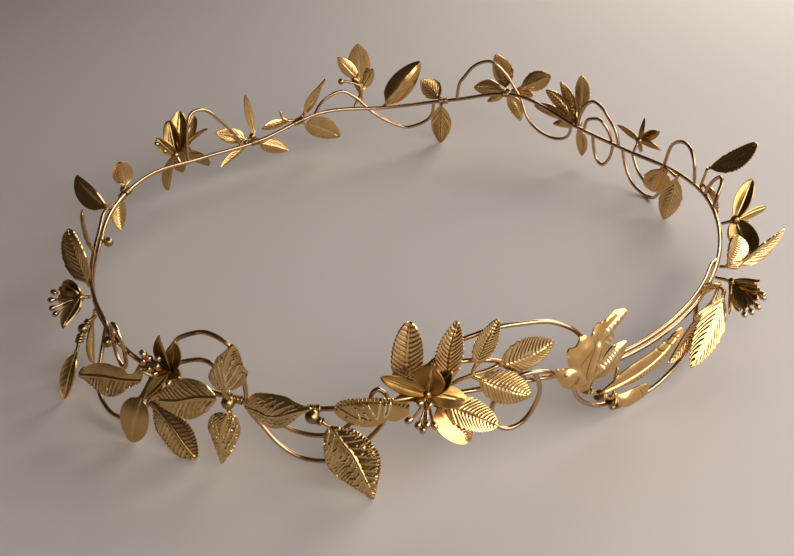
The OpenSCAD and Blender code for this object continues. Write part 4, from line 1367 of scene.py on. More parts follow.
WIRES = [
    Wires("head_ring", [ring_route()], RING_WIRE_D, steps=1, closed=True, fineness=3),
    Wires("arches_front_left", [[on_ring(-37.6), (-37.4, 0, 20.6), (-37, 0, 24.6), (-35.4, 0, 28.7),
        (-33, 0, 31.3), (-29.8, 0, 33.4), (-27.3, 0, 33), (-25.3, 0, 31), (-24.3, 0, 27), (-24, 0, 22.5),
        on_ring(-24.1)],
        [(-37.4, 0, 20.6), (-36, 0, 22.2), (-33.2, 0, 24.4), (-30.7, 0, 25.6), (-28.8, 0, 24.8),
            (-27.9, 0, 21.6), on_ring(-27.9)]]),
    Wires("sweep_front", [[on_ring(-24.6), (-23.8, 0, 14), (-22, 0, 10.4), (-20, 0, 6.3), (-17.2, 0, 3.3),
        (-14.7, 0, 2.5), (-12, 0, 3), (-9.1, 0, 5), (-6.3, 0, 9.5), (-4, 0, 14.1), on_ring(-2.8)]]),
    Wires("sweep_front_inner", [[on_ring(-20.9), (-20.2, 0, 13.6), (-18.3, 0, 11.4), (-15.9, 0, 10),
        (-12.7, 0, 10), (-9.8, 0, 12), (-8.2, 0, 15), on_ring(-7.6)]]),
    Wires("eyelet_front", [[on_ring(-5.6), (-5.5, 0, 20.6), (-5.1, 0, 22), (-4.4, 0, 22.7), (-3.7, 0, 22),
        (-3.3, 0, 20.9), on_ring(-3.2)]]),
    Wires("arch_front", [[on_ring(1.2), (1, 0, 23.4), (1.8, 0, 26.3), (3.8, 0, 29.5), (7.3, 0, 33.2),
        (9.2, 0, 34.2), (12.5, 0, 35.1), (16.2, 0, 34.7), (19.6, 0, 33.7), (22.2, 0, 31.6), (24.7, 0, 28.3),
        (26.3, 0, 23.8), on_ring(26.9)]]),
    Wires("branch_front", [[on_ring(3.4), (4, 0, 24.4), (5.3, 0, 27.2), (8.3, 0, 28), (12.4, 0, 26.5),
        (15.2, 0, 23.4), on_ring(16.4)]]),
    Wires("curl_front", [[on_ring(13.2), (14, 0.8, 21.4), (15.8, 1.6, 22.6), (17.4, 1.6, 22.5),
        (19.8, 0.8, 21), on_ring(21.4)],
        [on_ring(12.9), (11.3, 0, 14), (11.7, 0, 10), (13.4, 0, 7.9), (15.4, 0, 8.2), (17, 0, 10.3),
            (18.2, 0.5, 14.4), (18.2, 1.5, 18.4), (17.4, 1.6, 22.5)]]),
    Wires("sweep_front_right", [SWEEP_FRONT_RIGHT]),
    Wires("eyelet_left", [loop_route((-50.9, 1.3, 18.2), 2.1, 6.2)], steps=1, closed=True),
    Wires("sweep_left", [[on_ring(-59.2), (-58.6, 2.6, 11), (-56, 6.4, 4.4), (-51.5, 7.4, 2.2),
        (-48, 6.6, 2), (-45, 5, 3.4), (-43.2, 2.2, 8), on_ring(-42.7)]]),
    Wires("twin_wire_left", [[on_ring(azimuth, 0, rise) for azimuth, rise in TWIN_LEFT]]),
    Wires("twin_wire_right", [[on_ring(*place) for place in TWIN_RIGHT]]),
    Wires("arch_right", [[on_ring(85.8), (86.2, 1.2, 21.5), (87.6, 2.6, 24), (89.4, 2.8, 24.4),
        (91, 1.4, 21.6), on_ring(91.8)]]),
    Wires("arch_right_back", [[on_ring(109.4), (107.3, 0, 22.6), (103.9, 0, 26.2), (100.3, 0, 26.6),
        (97.9, 0, 23.2), on_ring(97.2)]]),
    Wires("drop_loops_back_right", [[on_ring(122.6), (121.2, 0, 6.8), (118.6, 0, 2.2), (114.8, 0.7, 0.6),
        (111.6, 0, 2.8), (109.2, 0, 9.2), on_ring(108.2)],
        [on_ring(119.6), (117.9, 0, 8.5), (115.5, 0, 5.8), (112.6, 0, 5.8), (109.2, 0, 9.2)]]),
    Wires("hoop_back_right", [[on_ring(133.2), (132.6, 0, 18.8), (131.4, 0, 20.1), (129.3, 0.3, 20.6),
        (127.6, 0.9, 18.1), (126.5, 1.3, 14.7), (126.1, 1.3, 12.3), (126.5, 0.5, 8), (128.1, 0, 5),
        (129.8, 0, 6.6), (130.6, 0, 10.6), on_ring(130.8)]]),
    Wires("arch_back_right", [[on_ring(134.9), (133.8, 0, 22.4), (131.2, 0, 26.3), (128.6, 0, 25.2),
        (126.6, 0, 22.1), (124.6, 0, 18.6), on_ring(123.6)]]),
    Wires("scroll_back_right", [[on_ring(163.9), (163.3, 0, 25.7), (162, 0, 28.7), (159.9, 0, 32.5),
        (157.4, 0, 34.5), (155.1, 0, 34.4), (152.6, 0.5, 30.6), (150.9, 1.3, 26), (149.2, 1.4, 21),
        (147.9, 0.6, 16.5), (146.2, 0, 13.2), (143.5, 0, 10.6), (140, 0, 9.8), (137.4, 0, 11.8),
        on_ring(136.4)]]),
    Wires("scroll_back_left", [[on_ring(-163.4), (-164.6, 0, 21.6), (-166.4, 0, 24), (-170, 0.3, 25.6),
        (-173, 0.9, 22.6), (-174.9, 1.3, 19.2), (-176.6, 1.3, 16.2), (-178.9, 0.4, 13.6), (-181.8, 0, 11.2),
        (-184.5, 0, 9.9), (-188.4, 0, 11.8), (-190.2, 0, 14.8), on_ring(-190.7)]]),
    Wires("arch_back_left", [[on_ring(-131.2), (-131.8, 0, 24), (-132.9, 0, 29.4), (-134.6, 0, 31.8),
        (-138, 0, 30.4), (-141.6, 0, 24), (-144.3, 0, 18), on_ring(-145)]])]

SPRAYS = [
    Spray("binding_left", beads=[Bead((-94, -2, 15), 2.9)], sleeve=Sleeve(-94)),
    Spray("binding_left_front", beads=[Bead((-56, 1.6, 15.4), 2.9)], sleeve=Sleeve(-56.4)),
    Spray("leaf_tall_front", [Blade(seat(-0.6), (0.6, 2.4, 41), 6.8, Die.PILLOW, fold=20, bow=0.6,
        sweep=-0.4, shape=1, full=0.45, stalk=0.22)]),
    Spray("spray_front", [
        Blade((5, 2, 23), (6.7, 2.6, 39.8), 5.8, fold=12, bow=0.6, sweep=-1, shape=0.9, stalk=0.12),
        Blade((8.9, 2.5, 28), (11.9, 3.4, 39.4), 4.8, fold=12, bow=0.5, sweep=-0.6, shape=0.9, stalk=0.05),
        Blade((11.7, 2.6, 27.1), (19.7, 3.4, 30.5), 7.8, fold=-8, bow=0.8, shape=0.85),
        Blade((8.4, 2.5, 25.6), (15.9, 5.2, 19.3), 7.8, fold=-10, bow=0.8, shape=0.9, stalk=0.12)],
        stems=[[seat(4.8), (5, 1.8, 22.6), (6.2, 2.2, 24.6), (8.4, 2.4, 25.8), (10.2, 2.5, 26.3),
            (11.9, 2.6, 27.2)], [(8.4, 2.4, 25.8), (8.6, 2.4, 27.2), (9, 2.5, 28.6)]]),
    Spray("leaves_low_front", [
        Blade((3.5, 1.45, 19.4), (11.2, 5.2, 13.3), 6.8, full=0.55, fold=8, bow=0.6, stalk=0.15, roll=-36),
        Blade((3.3, 1.35, 18.9), (7, 6.2, 11), 7.8, Die.HALF, full=0.52, fold=4, bow=0.8, roll=-34)],
        stems=[[seat(3.4), (3.5, 1.6, 19.5), (3.4, 1.8, 18.8)]]),
    Spray("leaf_long_front", cut=[CutLeaf(seat(-11.4), (-0.8, 3, 20.6),
        [(-1, 6), (-9, 15), (-12, 26), (-13, 45), (-12, 62), (-9, 80), (-6, 91), (-2, 98), (4, 104),
            (13, 102), (18, 94), (21, 82), (18, 74), (23, 62), (25, 49), (22, 33), (17, 22), (9, 12)],
        strokes=[[(-1, 17), (8, 29), (16, 42)], [(-1, 37), (6, 39), (13, 39)], [(12, 42), (17, 54)],
            [(10, 20), (8, 29)], [(-5, 53), (4, 57), (15, 61)], [(-8, 70), (4, 66), (15, 61)],
            [(-3, 76), (12, 71)], [(-4, 82), (7, 78), (13, 71)], [(-6, 41), (-2, 47)], [(6, 47), (13, 50)]],
        roll=-12, cup=-0.5, toothed=(0.02, 0.47), tooth=0.4, pitch=0.9, nick_length=0.85,
        stroke_height=0.24)]),
    Spray("leaf_drop_front", cut=[CutLeaf((-11.4, 2.4, 14.8), (-5.7, 9.6, 0.15),
        [(-2, 2), (-10, 8), (-18, 14), (-25, 20), (-29, 29), (-33, 38), (-34, 48), (-34, 57), (-31, 66),
            (-24, 76), (-16, 85), (-9, 92), (0, 100), (3, 93), (9, 83), (15, 74), (21, 64), (27, 54),
            (31, 46), (29, 36), (26, 26), (18, 15), (10, 6), (3, 2)],
        ridges=[[(-2, 6), (-4, 16), (-6, 29), (-9, 43), (-8, 59), (-6, 75), (-4, 88), (-1, 98)]],
        veins=Veins(1.7, 0.8, 0.04, 0.36, 0.19, fork=2), cup=-1.3, toothed=(0.04, 0.97), tooth=0.22,
        pitch=0.8, ridge_mm=0.34, ridge_height=0.28)],
        stems=[[(-13.7, 2.2, 16.4), (-12.6, 2.6, 15.8), (-11.9, 2.4, 15), (-11.2, 2.4, 14.4)]],
        stem_finish=BINDING_BRASS, beads=[Bead((-13.7, 2.1, 16.6), 3.4)], sleeve=Sleeve(-13.8),
        wraps=[Wrap((-12.9, 2.5, 16), (-12.2, 2.5, 15.4), wire_d=0.6)]),
    Spray("leaf_veined_front", cut=[CutLeaf(seat(-23.7), (-15.4, 2.6, 18.2),
        [(8, -6), (-6, 1), (-17, 11), (-22, 22), (-24, 41), (-24, 60), (-22, 78), (-15, 93), (-9, 108),
            (-5, 122), (4, 106), (13, 95), (24, 81), (34, 64), (39, 44), (36, 29), (26, 16), (19, 5)],
        ridges=[[(9, -5), (10, 21), (16, 42), (11, 69), (3, 91), (-4, 118)]],
        strokes=[[(10, 10), (-6, 24), (-16, 40), (-20, 53)], [(11, 22), (-6, 39), (-16, 59)],
            [(14, 37), (1, 49), (-10, 64), (-16, 76)], [(14, 49), (3, 59), (-6, 76), (-10, 89)],
            [(12, 66), (2, 79), (-5, 96)], [(17, 9), (22, 33), (24, 54), (19, 73), (9, 93)],
            [(24, 19), (29, 36), (30, 56), (22, 77)]], roll=-12, veins=Veins(0.95, 1.5, 0.06, 0.12, 0.13),
        cup=-0.9, stroke_mm=0.13, stroke_height=0.16)]),
    Spray("leaf_pair_front_left", cut=[CutLeaf((-26, 2.4, 17.8), (-24, 4, 33.8),
        [(-4, 0), (4, 0), (0, 22), (9, 30), (18, 39), (25, 53), (27, 65), (22, 74), (18, 87), (14, 97),
            (6, 108), (1, 101), (-5, 92), (-15, 79), (-23, 58), (-30, 40), (-36, 26), (-32, 15), (-20, 13),
            (-9, 17)], ridges=[[(0, 23), (-1, 45), (-2, 68), (1, 89), (6, 106)]],
        strokes=[[(-26, 43), (-20, 28), (-6, 22)], [(-20, 56), (-16, 38), (-3, 27)],
            [(-13, 71), (-10, 54), (-2, 39)], [(-7, 81), (-5, 68), (-2, 55)], [(10, 85), (4, 68), (-1, 49)],
            [(15, 76), (8, 55), (0, 37)], [(21, 67), (12, 45), (1, 27)]], bow=1,
        veins=Veins(1, 1.7, 0, 0.2, 0.15), cup=-1.7, ridge_height=0.35),
        CutLeaf((-26.4, 2.4, 16.6), (-27.9, 5.4, 1.2),
            [(-4, 0), (4, 0), (-2, 11), (9, 14), (19, 21), (25, 33), (25, 47), (18, 57), (12, 68), (6, 79),
                (2, 89), (-2, 97), (-9, 83), (-15, 72), (-19, 58), (-23, 38), (-20, 24), (-14, 15),
                (-8, 10)], ridges=[[(-2, 12), (2, 34), (2, 58), (-2, 95)]],
            strokes=[[(21, 27), (17, 41), (8, 60)], [(15, 21), (11, 36), (4, 59)],
                [(-11, 18), (-8, 40), (-2, 63)], [(-18, 28), (-14, 47), (-6, 71)]], roll=-10,
            veins=Veins(1, 1.7, 0, 0.2, 0.15), cup=-1.4, ridge_height=0.35)],
        stems=[[(-26, 2.2, 18.2), (-26.3, 2.5, 17), (-26.4, 2.4, 15.8)]],
        beads=[Bead((-26.3, 2.2, 17.2), 3.2)], sleeve=Sleeve(-26.1, 4.6)),
    Spray("leaf_wide_front_left", cut=[CutLeaf(seat(-28.4), (-39.3, 6, 13.6),
        [(-1, 3), (11, 9), (18, 15), (24, 26), (27, 38), (27, 51), (24, 60), (16, 72), (8, 85), (2, 97),
            (-3, 87), (-13, 73), (-21, 60), (-26, 48), (-24, 35), (-17, 20), (-9, 10)],
        ridges=[[(-1, 4), (2, 29), (-1, 55), (0, 81)]], roll=12, bow=1.2,
        veins=Veins(1.3, 1, 0.05, 0.18, 0.16, right=0.7), cup=-0.6, ridge_mm=0.28)]),
    Spray("leaf_low_front_left", cut=[CutLeaf(seat(-39.6), (-32.8, 5.8, 0.15),
        [(26, 20), (3, -2), (-3, 2), (13, 28), (2, 39), (-6, 50), (-13, 62), (-14, 75), (-12, 88),
            (-5, 100), (6, 97), (15, 90), (22, 78), (26, 66), (30, 56), (29, 44), (25, 33), (27, 26)],
        ridges=[[(23, 24), (15, 39), (8, 59), (3, 78), (-1, 91), (-4, 99)]], roll=-20,
        veins=Veins(1.15, 0.6, 0.02, 0.28, 0.18, left=0.1), cup=-0.6, toothed=(0.3, 0.97), tooth=0.3,
        pitch=0.8)]),
    Spray("leaf_oval_front_left", cut=[CutLeaf(seat(-41.2), (-43, 8.9, 0.2),
        [(-3, 0), (3, 0), (7, 34), (18, 42), (26, 54), (28, 68), (23, 82), (14, 93), (4, 100), (-7, 95),
            (-14, 82), (-15, 68), (-12, 54), (-5, 42), (1, 36)],
        ridges=[[(5, 35), (5, 55), (4, 75), (1, 97)]], roll=-15, bow=1.2, cup=-0.9, ridge_height=0.2)]),
    Spray("leaf_left_front", cut=[CutLeaf(seat(-44.4), (-54, 10.4, 11.4),
        [(-20, 9), (0, -3), (2, 4), (-9, 18), (1, 30), (7, 42), (12, 57), (13, 75), (9, 93), (0, 107),
            (-7, 98), (-13, 90), (-21, 85), (-29, 79), (-33, 71), (-34, 59), (-31, 47), (-26, 36),
            (-23, 22)], ridges=[[(-20, 9), (-14, 33), (-6, 60), (-2, 88), (-1, 105)]], bow=1,
        veins=Veins(1.15, 0.7, 0.02, 0.26, 0.18, right=0), cup=-0.9, toothed=(0.5, 0.97), tooth=0.4,
        pitch=0.85)]),
    Spray("bud_left", [
        Blade((-60.4, 8.2, 12), (-59.6, 14.4, 0.15), 4.6, Die.SMOOTH, roll=-35, fold=24, bow=0.6),
        Blade(seat(-66), (-65.7, 4.2, 1.4), 4.2, Die.SOFT, roll=40, bow=0.6, shape=1.1, stalk=0.25)],
        stems=[[seat(-63.6), (-63, 3.6, 16), (-61.6, 6.4, 14), (-60.2, 8.4, 11.6)]],
        stem_finish=BINDING_BRASS, beads=[Bead((-62.6, 5, 15.2), 2.8)],
        wraps=[Wrap((-61.9, 5.9, 14.5), (-61.1, 7.1, 13.1), wire_d=0.7),
            Wrap((-63.3, 2.8, 16.4), (-63, 3.8, 15.9), wire_d=0.6)]),
    Spray("leaf_upright_left", [Blade(seat(-75), (-80, 3.6, 30.6), 7.8, Die.SOFT, full=0.5, roll=55,
        fold=14, bow=0.8, shape=0.85)]),
    Spray("leaf_narrow_left",
        [Blade(seat(-88.2), (-90, 1.9, 28.8), 4.6, Die.PILLOW, roll=25, fold=16, bow=0.6)]),
    Spray("leaf_broad_left",
        [Blade(seat(-104), (-108, 14, 25.6), 8.6, Die.SMOOTH, roll=62, fold=30, bow=0.8, curl=0.8)]),
    Spray("leaves_left_back", [
        Blade((-113, 1.6, 19), (-113, 1.6, 27.4), 6.6, Die.SMOOTH, full=0.5, roll=-40, fold=16, bow=0.5),
        Blade((-110.2, 1.6, 17.4), (-109, 2.6, 6.6), 6, Die.SOFT, roll=20, fold=12, bow=0.6)],
        stems=[[(-110.2, 1.6, 17), (-111.4, 1.8, 18), (-112.4, 1.8, 19), (-113, 1.6, 19.6)]],
        stem_finish=BINDING_BRASS, beads=[Bead((-112, 1.7, 18.6), 2.4), Bead((-111, 1.7, 17), 2.4)],
        sleeve=Sleeve(-111.6)),
    Spray("sprig_back_left", [
        Blade((-149.2, 1.6, 14.6), (-148.7, 3, 30.4), 3, Die.FINE, fold=12, bow=0.4, shape=1),
        Blade((-147.6, 1.8, 14.8), (-140.9, 4, 19.8), 5.4, Die.SOFT, bow=0.6),
        Blade((-147.6, 1.8, 13.6), (-140.4, 3, 7.6), 3, Die.FINE, fold=16, bow=0.4),
        Blade((-149.8, 2, 12.4), (-157, 3.4, 6), 5.6, Die.SOFT, fold=16, bow=0.4)],
        stems=[[(-147, 1.8, 14), (-148, 1.8, 14.8), (-149, 1.9, 14), (-150, 2, 12.6)]],
        stem_finish=BINDING_BRASS,
        beads=[Bead((-148.7, 1.9, 15.4), 2.4), Bead((-150, 2, 12.9), 2.2), Bead((-147, 1.9, 13.8), 2.2)],
        sleeve=Sleeve(-148.6)),
    Spray("leaf_oval_back_left", [
        Blade((-160.6, 1.6, 16), (-169.2, 5, 6.8), 8.6, Die.SMOOTH, roll=10, bow=1, shape=1),
        Blade((-160.8, 1.5, 18.4), (-166.9, 3, 30), 4.8, Die.SMOOTH, fold=18, bow=-0.6, shape=0.9,
            twist=60),
        Blade((-157.4, 1.4, 17.8), (-151.6, 3.4, 16.4), 3.4, Die.SMOOTH, fold=18, bow=0.4, shape=1)],
        stems=[[(-160.2, 1.2, 17.2), (-160.9, 1.6, 15.4)],
            [(-160.8, 1.5, 18.6), (-160, 1.6, 17.8), (-158.6, 1.4, 17.6), (-157.2, 1.4, 18)],
            [(-157.2, 1.4, 18), (-156.2, 1.6, 19.4), (-156, 2, 21.8)]], sleeve=Sleeve(-159.6, 4)),
    Spray("leaf_lobed_back", [Blade((-174.4, 2.3, 19), (-174.8, 3.4, 41), 8.2, Die.SMOOTH, fold=16, bow=0.8,
        shape=1.3, stalk=0.15),
        Blade((-174.5, 2.6, 24), (-177.6, 3.6, 31.4), 4.6, Die.SMOOTH, fold=10, bow=0.4, shape=0.9),
        Blade((-174.3, 2.8, 28), (-170.2, 3.6, 36.8), 5, Die.SMOOTH, fold=10, bow=0.4, shape=0.9)],
        stems=[[seat(-172.6), (-173.4, 2.3, 20.4), (-174.4, 2.6, 23), (-174.4, 2.8, 26)],
            [(-174.4, 2.8, 26), (-172.4, 3, 27.6), (-170.4, 3, 28.2)]], stem_finish=BINDING_BRASS,
        beads=[Bead((-170.4, 3, 28.2), 2.2)]),
    Spray("leaf_curled_back",
        [Blade(seat(-179.2), (-187.9, 4.4, 32.6), 9.6, Die.SMOOTH, fold=28, bow=-1.4, shape=0.8)]),
    Spray("leaf_pair_back", [Blade((167.9, 2.2, 19.4), (172.1, 4, 26), 7.4, Die.SOFT, bow=0.6, shape=0.85),
        Blade((167.8, 2.2, 18), (169, 8.4, 0.1), 7.6, Die.SWEPT, bow=0.8, shape=1.1)],
        stems=[[(168, 2, 19.8), (167.8, 2.2, 18.6), (167.8, 2.3, 17.2)]], stem_finish=BINDING_BRASS,
        beads=[Bead((167.6, 1.9, 18.8))], sleeve=Sleeve(167)),
    Spray("spray_back", [Blade((152.8, 2.2, 24.2), (155.4, 3.6, 36.2), 7.4, Die.SOFT, bow=0.8),
        Blade((153.4, 2.2, 23.6), (160.4, 3.2, 23.6), 6.2, Die.SOFT, bow=0.6, shape=0.9),
        Blade((150.2, 2.8, 24.6), (143.6, 5.4, 30), 6.8, Die.SOFT, bow=0.8, shape=1),
        Blade((152, 2.4, 23.2), (147, 4, 22.6), 4.2, Die.FINE, bow=0.4),
        Blade((152.6, 2.4, 22.6), (150.3, 4.4, 12.3), 5.2, Die.SOFT, bow=0.6),
        Blade((153.4, 2.2, 22.6), (157.4, 3, 18.8), 2.8, Die.FINE, bow=0.3)],
        stems=[[(153.4, 2, 23.2), (152.4, 2.4, 23.8), (151, 2.7, 24.2), (150, 2.8, 24.8)]],
        stem_finish=BINDING_BRASS, beads=[Bead((152.4, 2.1, 23.3), 2.8)], sleeve=Sleeve(152.6, 2.6)),
    Spray("spray_back_right", [Blade((135.7, 2.6, 17), (135.5, 3.4, 32.8), 6, Die.SOFT, bow=0.6, shape=1.2),
        Blade((136.4, 2.6, 16.6), (144.2, 4, 25), 5, Die.SOFT, bow=0.5, shape=1.1),
        Blade((136.2, 2.7, 17), (141.4, 5.4, 28.2), 4.8, Die.SOFT, bow=0.5, shape=1.1),
        Blade((136.6, 2.5, 16.2), (147, 4.6, 18.8), 4.2, Die.SOFT, bow=0.4, shape=1.2),
        Blade((136.4, 2.5, 15.6), (142.2, 3.4, 13.6), 3.4, Die.FINE, bow=0.3),
        Blade((135.7, 2.6, 15), (135.6, 4.4, 3.6), 4.6, Die.SOFT, bow=0.5, shape=1)],
        stems=[[(135.7, 2.6, 14.4), (135.9, 2.7, 16), (136.3, 2.7, 17.2)],
            [seat(136.6), (136.2, 2, 16.2), (135.8, 2.4, 16.2)]], stem_finish=BINDING_BRASS,
        beads=[Bead((135.8, 2.4, 16.2), 3)]),
    Spray("leaves_hanging_right", [Blade(on_ring(103.4, -SOLDER_SEAT), (104.8, -3.4, 0.08), 6.8, Die.SOFT,
        roll=-50, bow=-0.6, shape=0.9, stalk=0.1),
        Blade(on_ring(109, -SOLDER_SEAT), (111, -2.2, 5.6), 8.4, Die.SOFT, full=0.5, roll=-50, fold=-10,
            bow=-0.4, shape=0.9)],
        stems=[[(103.5, -1.5, 15.2), (105, -1.6, 15.6), (107, -1.6, 15.6), (109, -1.5, 14.6)]]),
    Spray("leaf_right_back", [
        Blade((95.1, 2, 22.8), (92, 14.2, 31.8), 8.8, roll=-20, fold=12, bow=0.8, shape=0.9),
        Blade((95, 1.6, 17.8), (88, 2.4, 14.4), 5, Die.SOFT, roll=10, bow=0.5, shape=0.9)],
        stems=[[seat(95.6), (95.4, 1.6, 20), (95, 2.2, 23.4)],
            [seat(95.6), (95, 1.5, 17.8), (94.4, 1.6, 17.6)]]),
    Spray("leaves_right", [Blade((65.3, 2.6, 16.8), (68.6, 4.6, 23.4), 6.8, Die.PILLOW, roll=-40, bow=0.9,
        shape=1.5, full=0.4),
        Blade((66, 5, 16.4), (76, 16.4, 20), 5, Die.SOFT, roll=-20, fold=20, bow=0.8, twist=30)],
        stems=[[seat(65.6), (65.6, 2.6, 16.6), (65.8, 4.4, 16.4), (66, 5.4, 16.4)]]),
    Spray("spray_right", [Blade((59, 4.4, 15.8), (44.8, 6.2, 7.2), 6.8, Die.SOFT, roll=46, fold=-10,
        bow=1.6, shape=0.9, stalk=0.1),
        Blade((54.8, 2.3, 13.2), (42.6, 2, 8.4), 4.6, roll=20, fold=14, bow=0.4),
        Blade((59.6, 2.2, 16), (56, 0.5, 19.2), 5.6, Die.PILLOW, full=0.5, roll=-50, bow=0.3, shape=1),
        Blade((56.2, 2.4, 14.4), (49.6, 2.4, 16.2), 5.2, Die.PILLOW, full=0.5, roll=-30, bow=0.3, shape=1)],
        stems=[[(59.6, 2.2, 15.8), (59.3, 3.4, 16), (58.8, 4.4, 15.8)],
            [seat(60), (59.6, 2.2, 15.8), (58, 2.6, 15), (56.2, 2.4, 14), (54.4, 2.2, 13)]]),
    Spray("spray_front_right", cut=[CutLeaf((30.6, 1.9, 9.2), (46, 2.6, 15.6),
        [(-13, -13), (-16, 5), (-16.5, 23), (-14, 40), (-11, 56), (-9.5, 72), (-9, 87), (-4, 98), (4, 93),
            (11, 80), (14, 62), (11, 42), (5, 22), (-3, 3), (-8, -13)],
        ridges=[[(-10, -10), (-5, 10), (0, 35), (2, 60), (-2, 88)]],
        veins=Veins(1.1, 0.3, 0, 0.14, 0.16, left=0),
        grooves=[[(-12, 57), (0, 66)], [(-11, 69), (1, 77)], [(-9, 81), (0, 86)]],
        folds=[[(-16, 5), (-16.5, 23), (-14, 40), (-11, 56), (-9.5, 72)]], roll=8, cup=-0.5, fold_mm=1.2,
        fold_slope=0.7, ridge_mm=0.4, ridge_height=0.5, stroke_mm=0.3, stroke_height=0.2),
        CutLeaf((30.5, 1.6, 6.4), (37, 3.2, 7.2),
            [(-20, 3), (-15, 27), (-16, 50), (-13, 75), (-8, 94), (2, 100), (10, 98), (20, 82), (20, 55),
                (19, 33), (13, 18), (2, 8)], grooves=[[(-3, 72), (10, 80), (19, 74)]],
            domes=[(8, 30, 20, 0.6)], folds=[[(-18, 15), (-15, 27), (-16, 50), (-13, 75)]], fold_mm=1.8,
            stroke_mm=0.18, stroke_height=0.2)],
        stems=[[(26.1, 1.6, 12.6), (28, 1.6, 10.2), (29.4, 1.6, 8.6), (30.6, 1.6, 6.8)],
            [(30.6, 1.4, 5.4), (30.4, 1.7, 7.4), (30.8, 1.8, 9.6)],
            [(30.8, 1.8, 9.6), (31, 1.6, 12.4), (31.6, 1.3, 15.4)]],
        beads=[Bead((30.4, 2, 5.4), 1.6), Bead((31.6, 1.8, 4.8), 1.6)],
        wraps=[Wrap((28, 1.6, 10.2), (28.6, 1.6, 9.4), 1.4, 0.8),
            Wrap((30.2, 1.6, 7.4), (30.9, 1.6, 6.2), 1.4, 0.8),
            Wrap((31.2, 1.5, 5.8), (31.6, 1.4, 5.2), 1.6, 0.8)]),
    Spray("ivy_leaf_front_right", cut=[CutLeaf((25.3, 1.6, 13.2), (31.8, 2.8, 31),
        [(5, 13), (5, 0), (-13, -1), (-40, 3), (-56, 15), (-55, 21), (-45, 25), (-55, 39), (-55, 46),
            (-50, 50), (-49, 61), (-45, 64.5), (-35, 66), (-33, 80), (-24, 85), (-16, 97), (-2, 102),
            (1.5, 97), (-7, 77), (-1.5, 70), (-3, 43), (2, 59), (9, 62), (18, 69), (23, 62), (25, 50),
            (22, 31), (5, 16.5)],
        ridges=[[(1.2, 3.5), (-4.3, 18.7), (-10.4, 35.8), (-15.9, 55.8), (-16.4, 70.2), (-12.5, 82.2),
            (-4.5, 95.9)], [(-7.1, 10.9), (-24.5, 21), (-39.6, 21.9), (-43.6, 16.1)],
            [(-1.7, 17), (2.3, 27.1), (7.9, 42.8), (13.6, 58.5), (17.6, 66.6)]],
        grooves=[[(-7, 13.2), (-15, 28), (-19, 41.3), (-21.5, 52.4), (-27, 60.4)]],
        strokes=[[(-5.7, 42.8), (3.1, 37.9)], [(-2.1, 45.5), (7.7, 40.2)], [(-0.4, 48.9), (11.7, 42.4)],
            [(2.6, 51.5), (16, 44.1)], [(5.6, 54.1), (18.4, 46.6)], [(8.6, 56.7), (18.3, 50.8)],
            [(-6.7, 36.3), (1.8, 31.8)], [(-0.5, 35.2), (8.1, 30.7)], [(-17.8, 76.1), (-10.9, 71.1)],
            [(-15.5, 80.6), (-8.7, 75.6)], [(-12, 85.3), (-6.4, 81.2)], [(-8.5, 90.1), (-3.8, 86.3)],
            [(-10.3, 69.2), (-2.8, 66.3)], [(-11.3, 62.8), (-3.3, 61)]],
        domes=[(-35, 50, 10, 0.9), (-38, 35, 9, 0.8), (-36, 12, 13, 1.6), (9, 34, 10, 0.5),
            (-19, 62, 6, -0.5)],
        folds=[[(-40, 3), (-56, 15), (-55, 21)], [(-55, 39), (-55, 46)], [(-49, 61), (-45, 64.5)],
            [(-34, 70), (-33, 80)], [(-24, 87), (-16, 97), (-2, 102)], [(9, 62), (18, 69)]], fold_mm=1.1,
        fold_slope=0.8, steps=2, ridge_mm=0.7, ridge_height=0.4, stroke_mm=0.18, stroke_height=0.2)],
        stems=[[seat(25), (25.6, 1.8, 15.4), (25.9, 1.5, 12.8)]],
        wraps=[Wrap((26, 1.4, 13), (26.2, 1.4, 12.2), 1.4, 0.7)])]

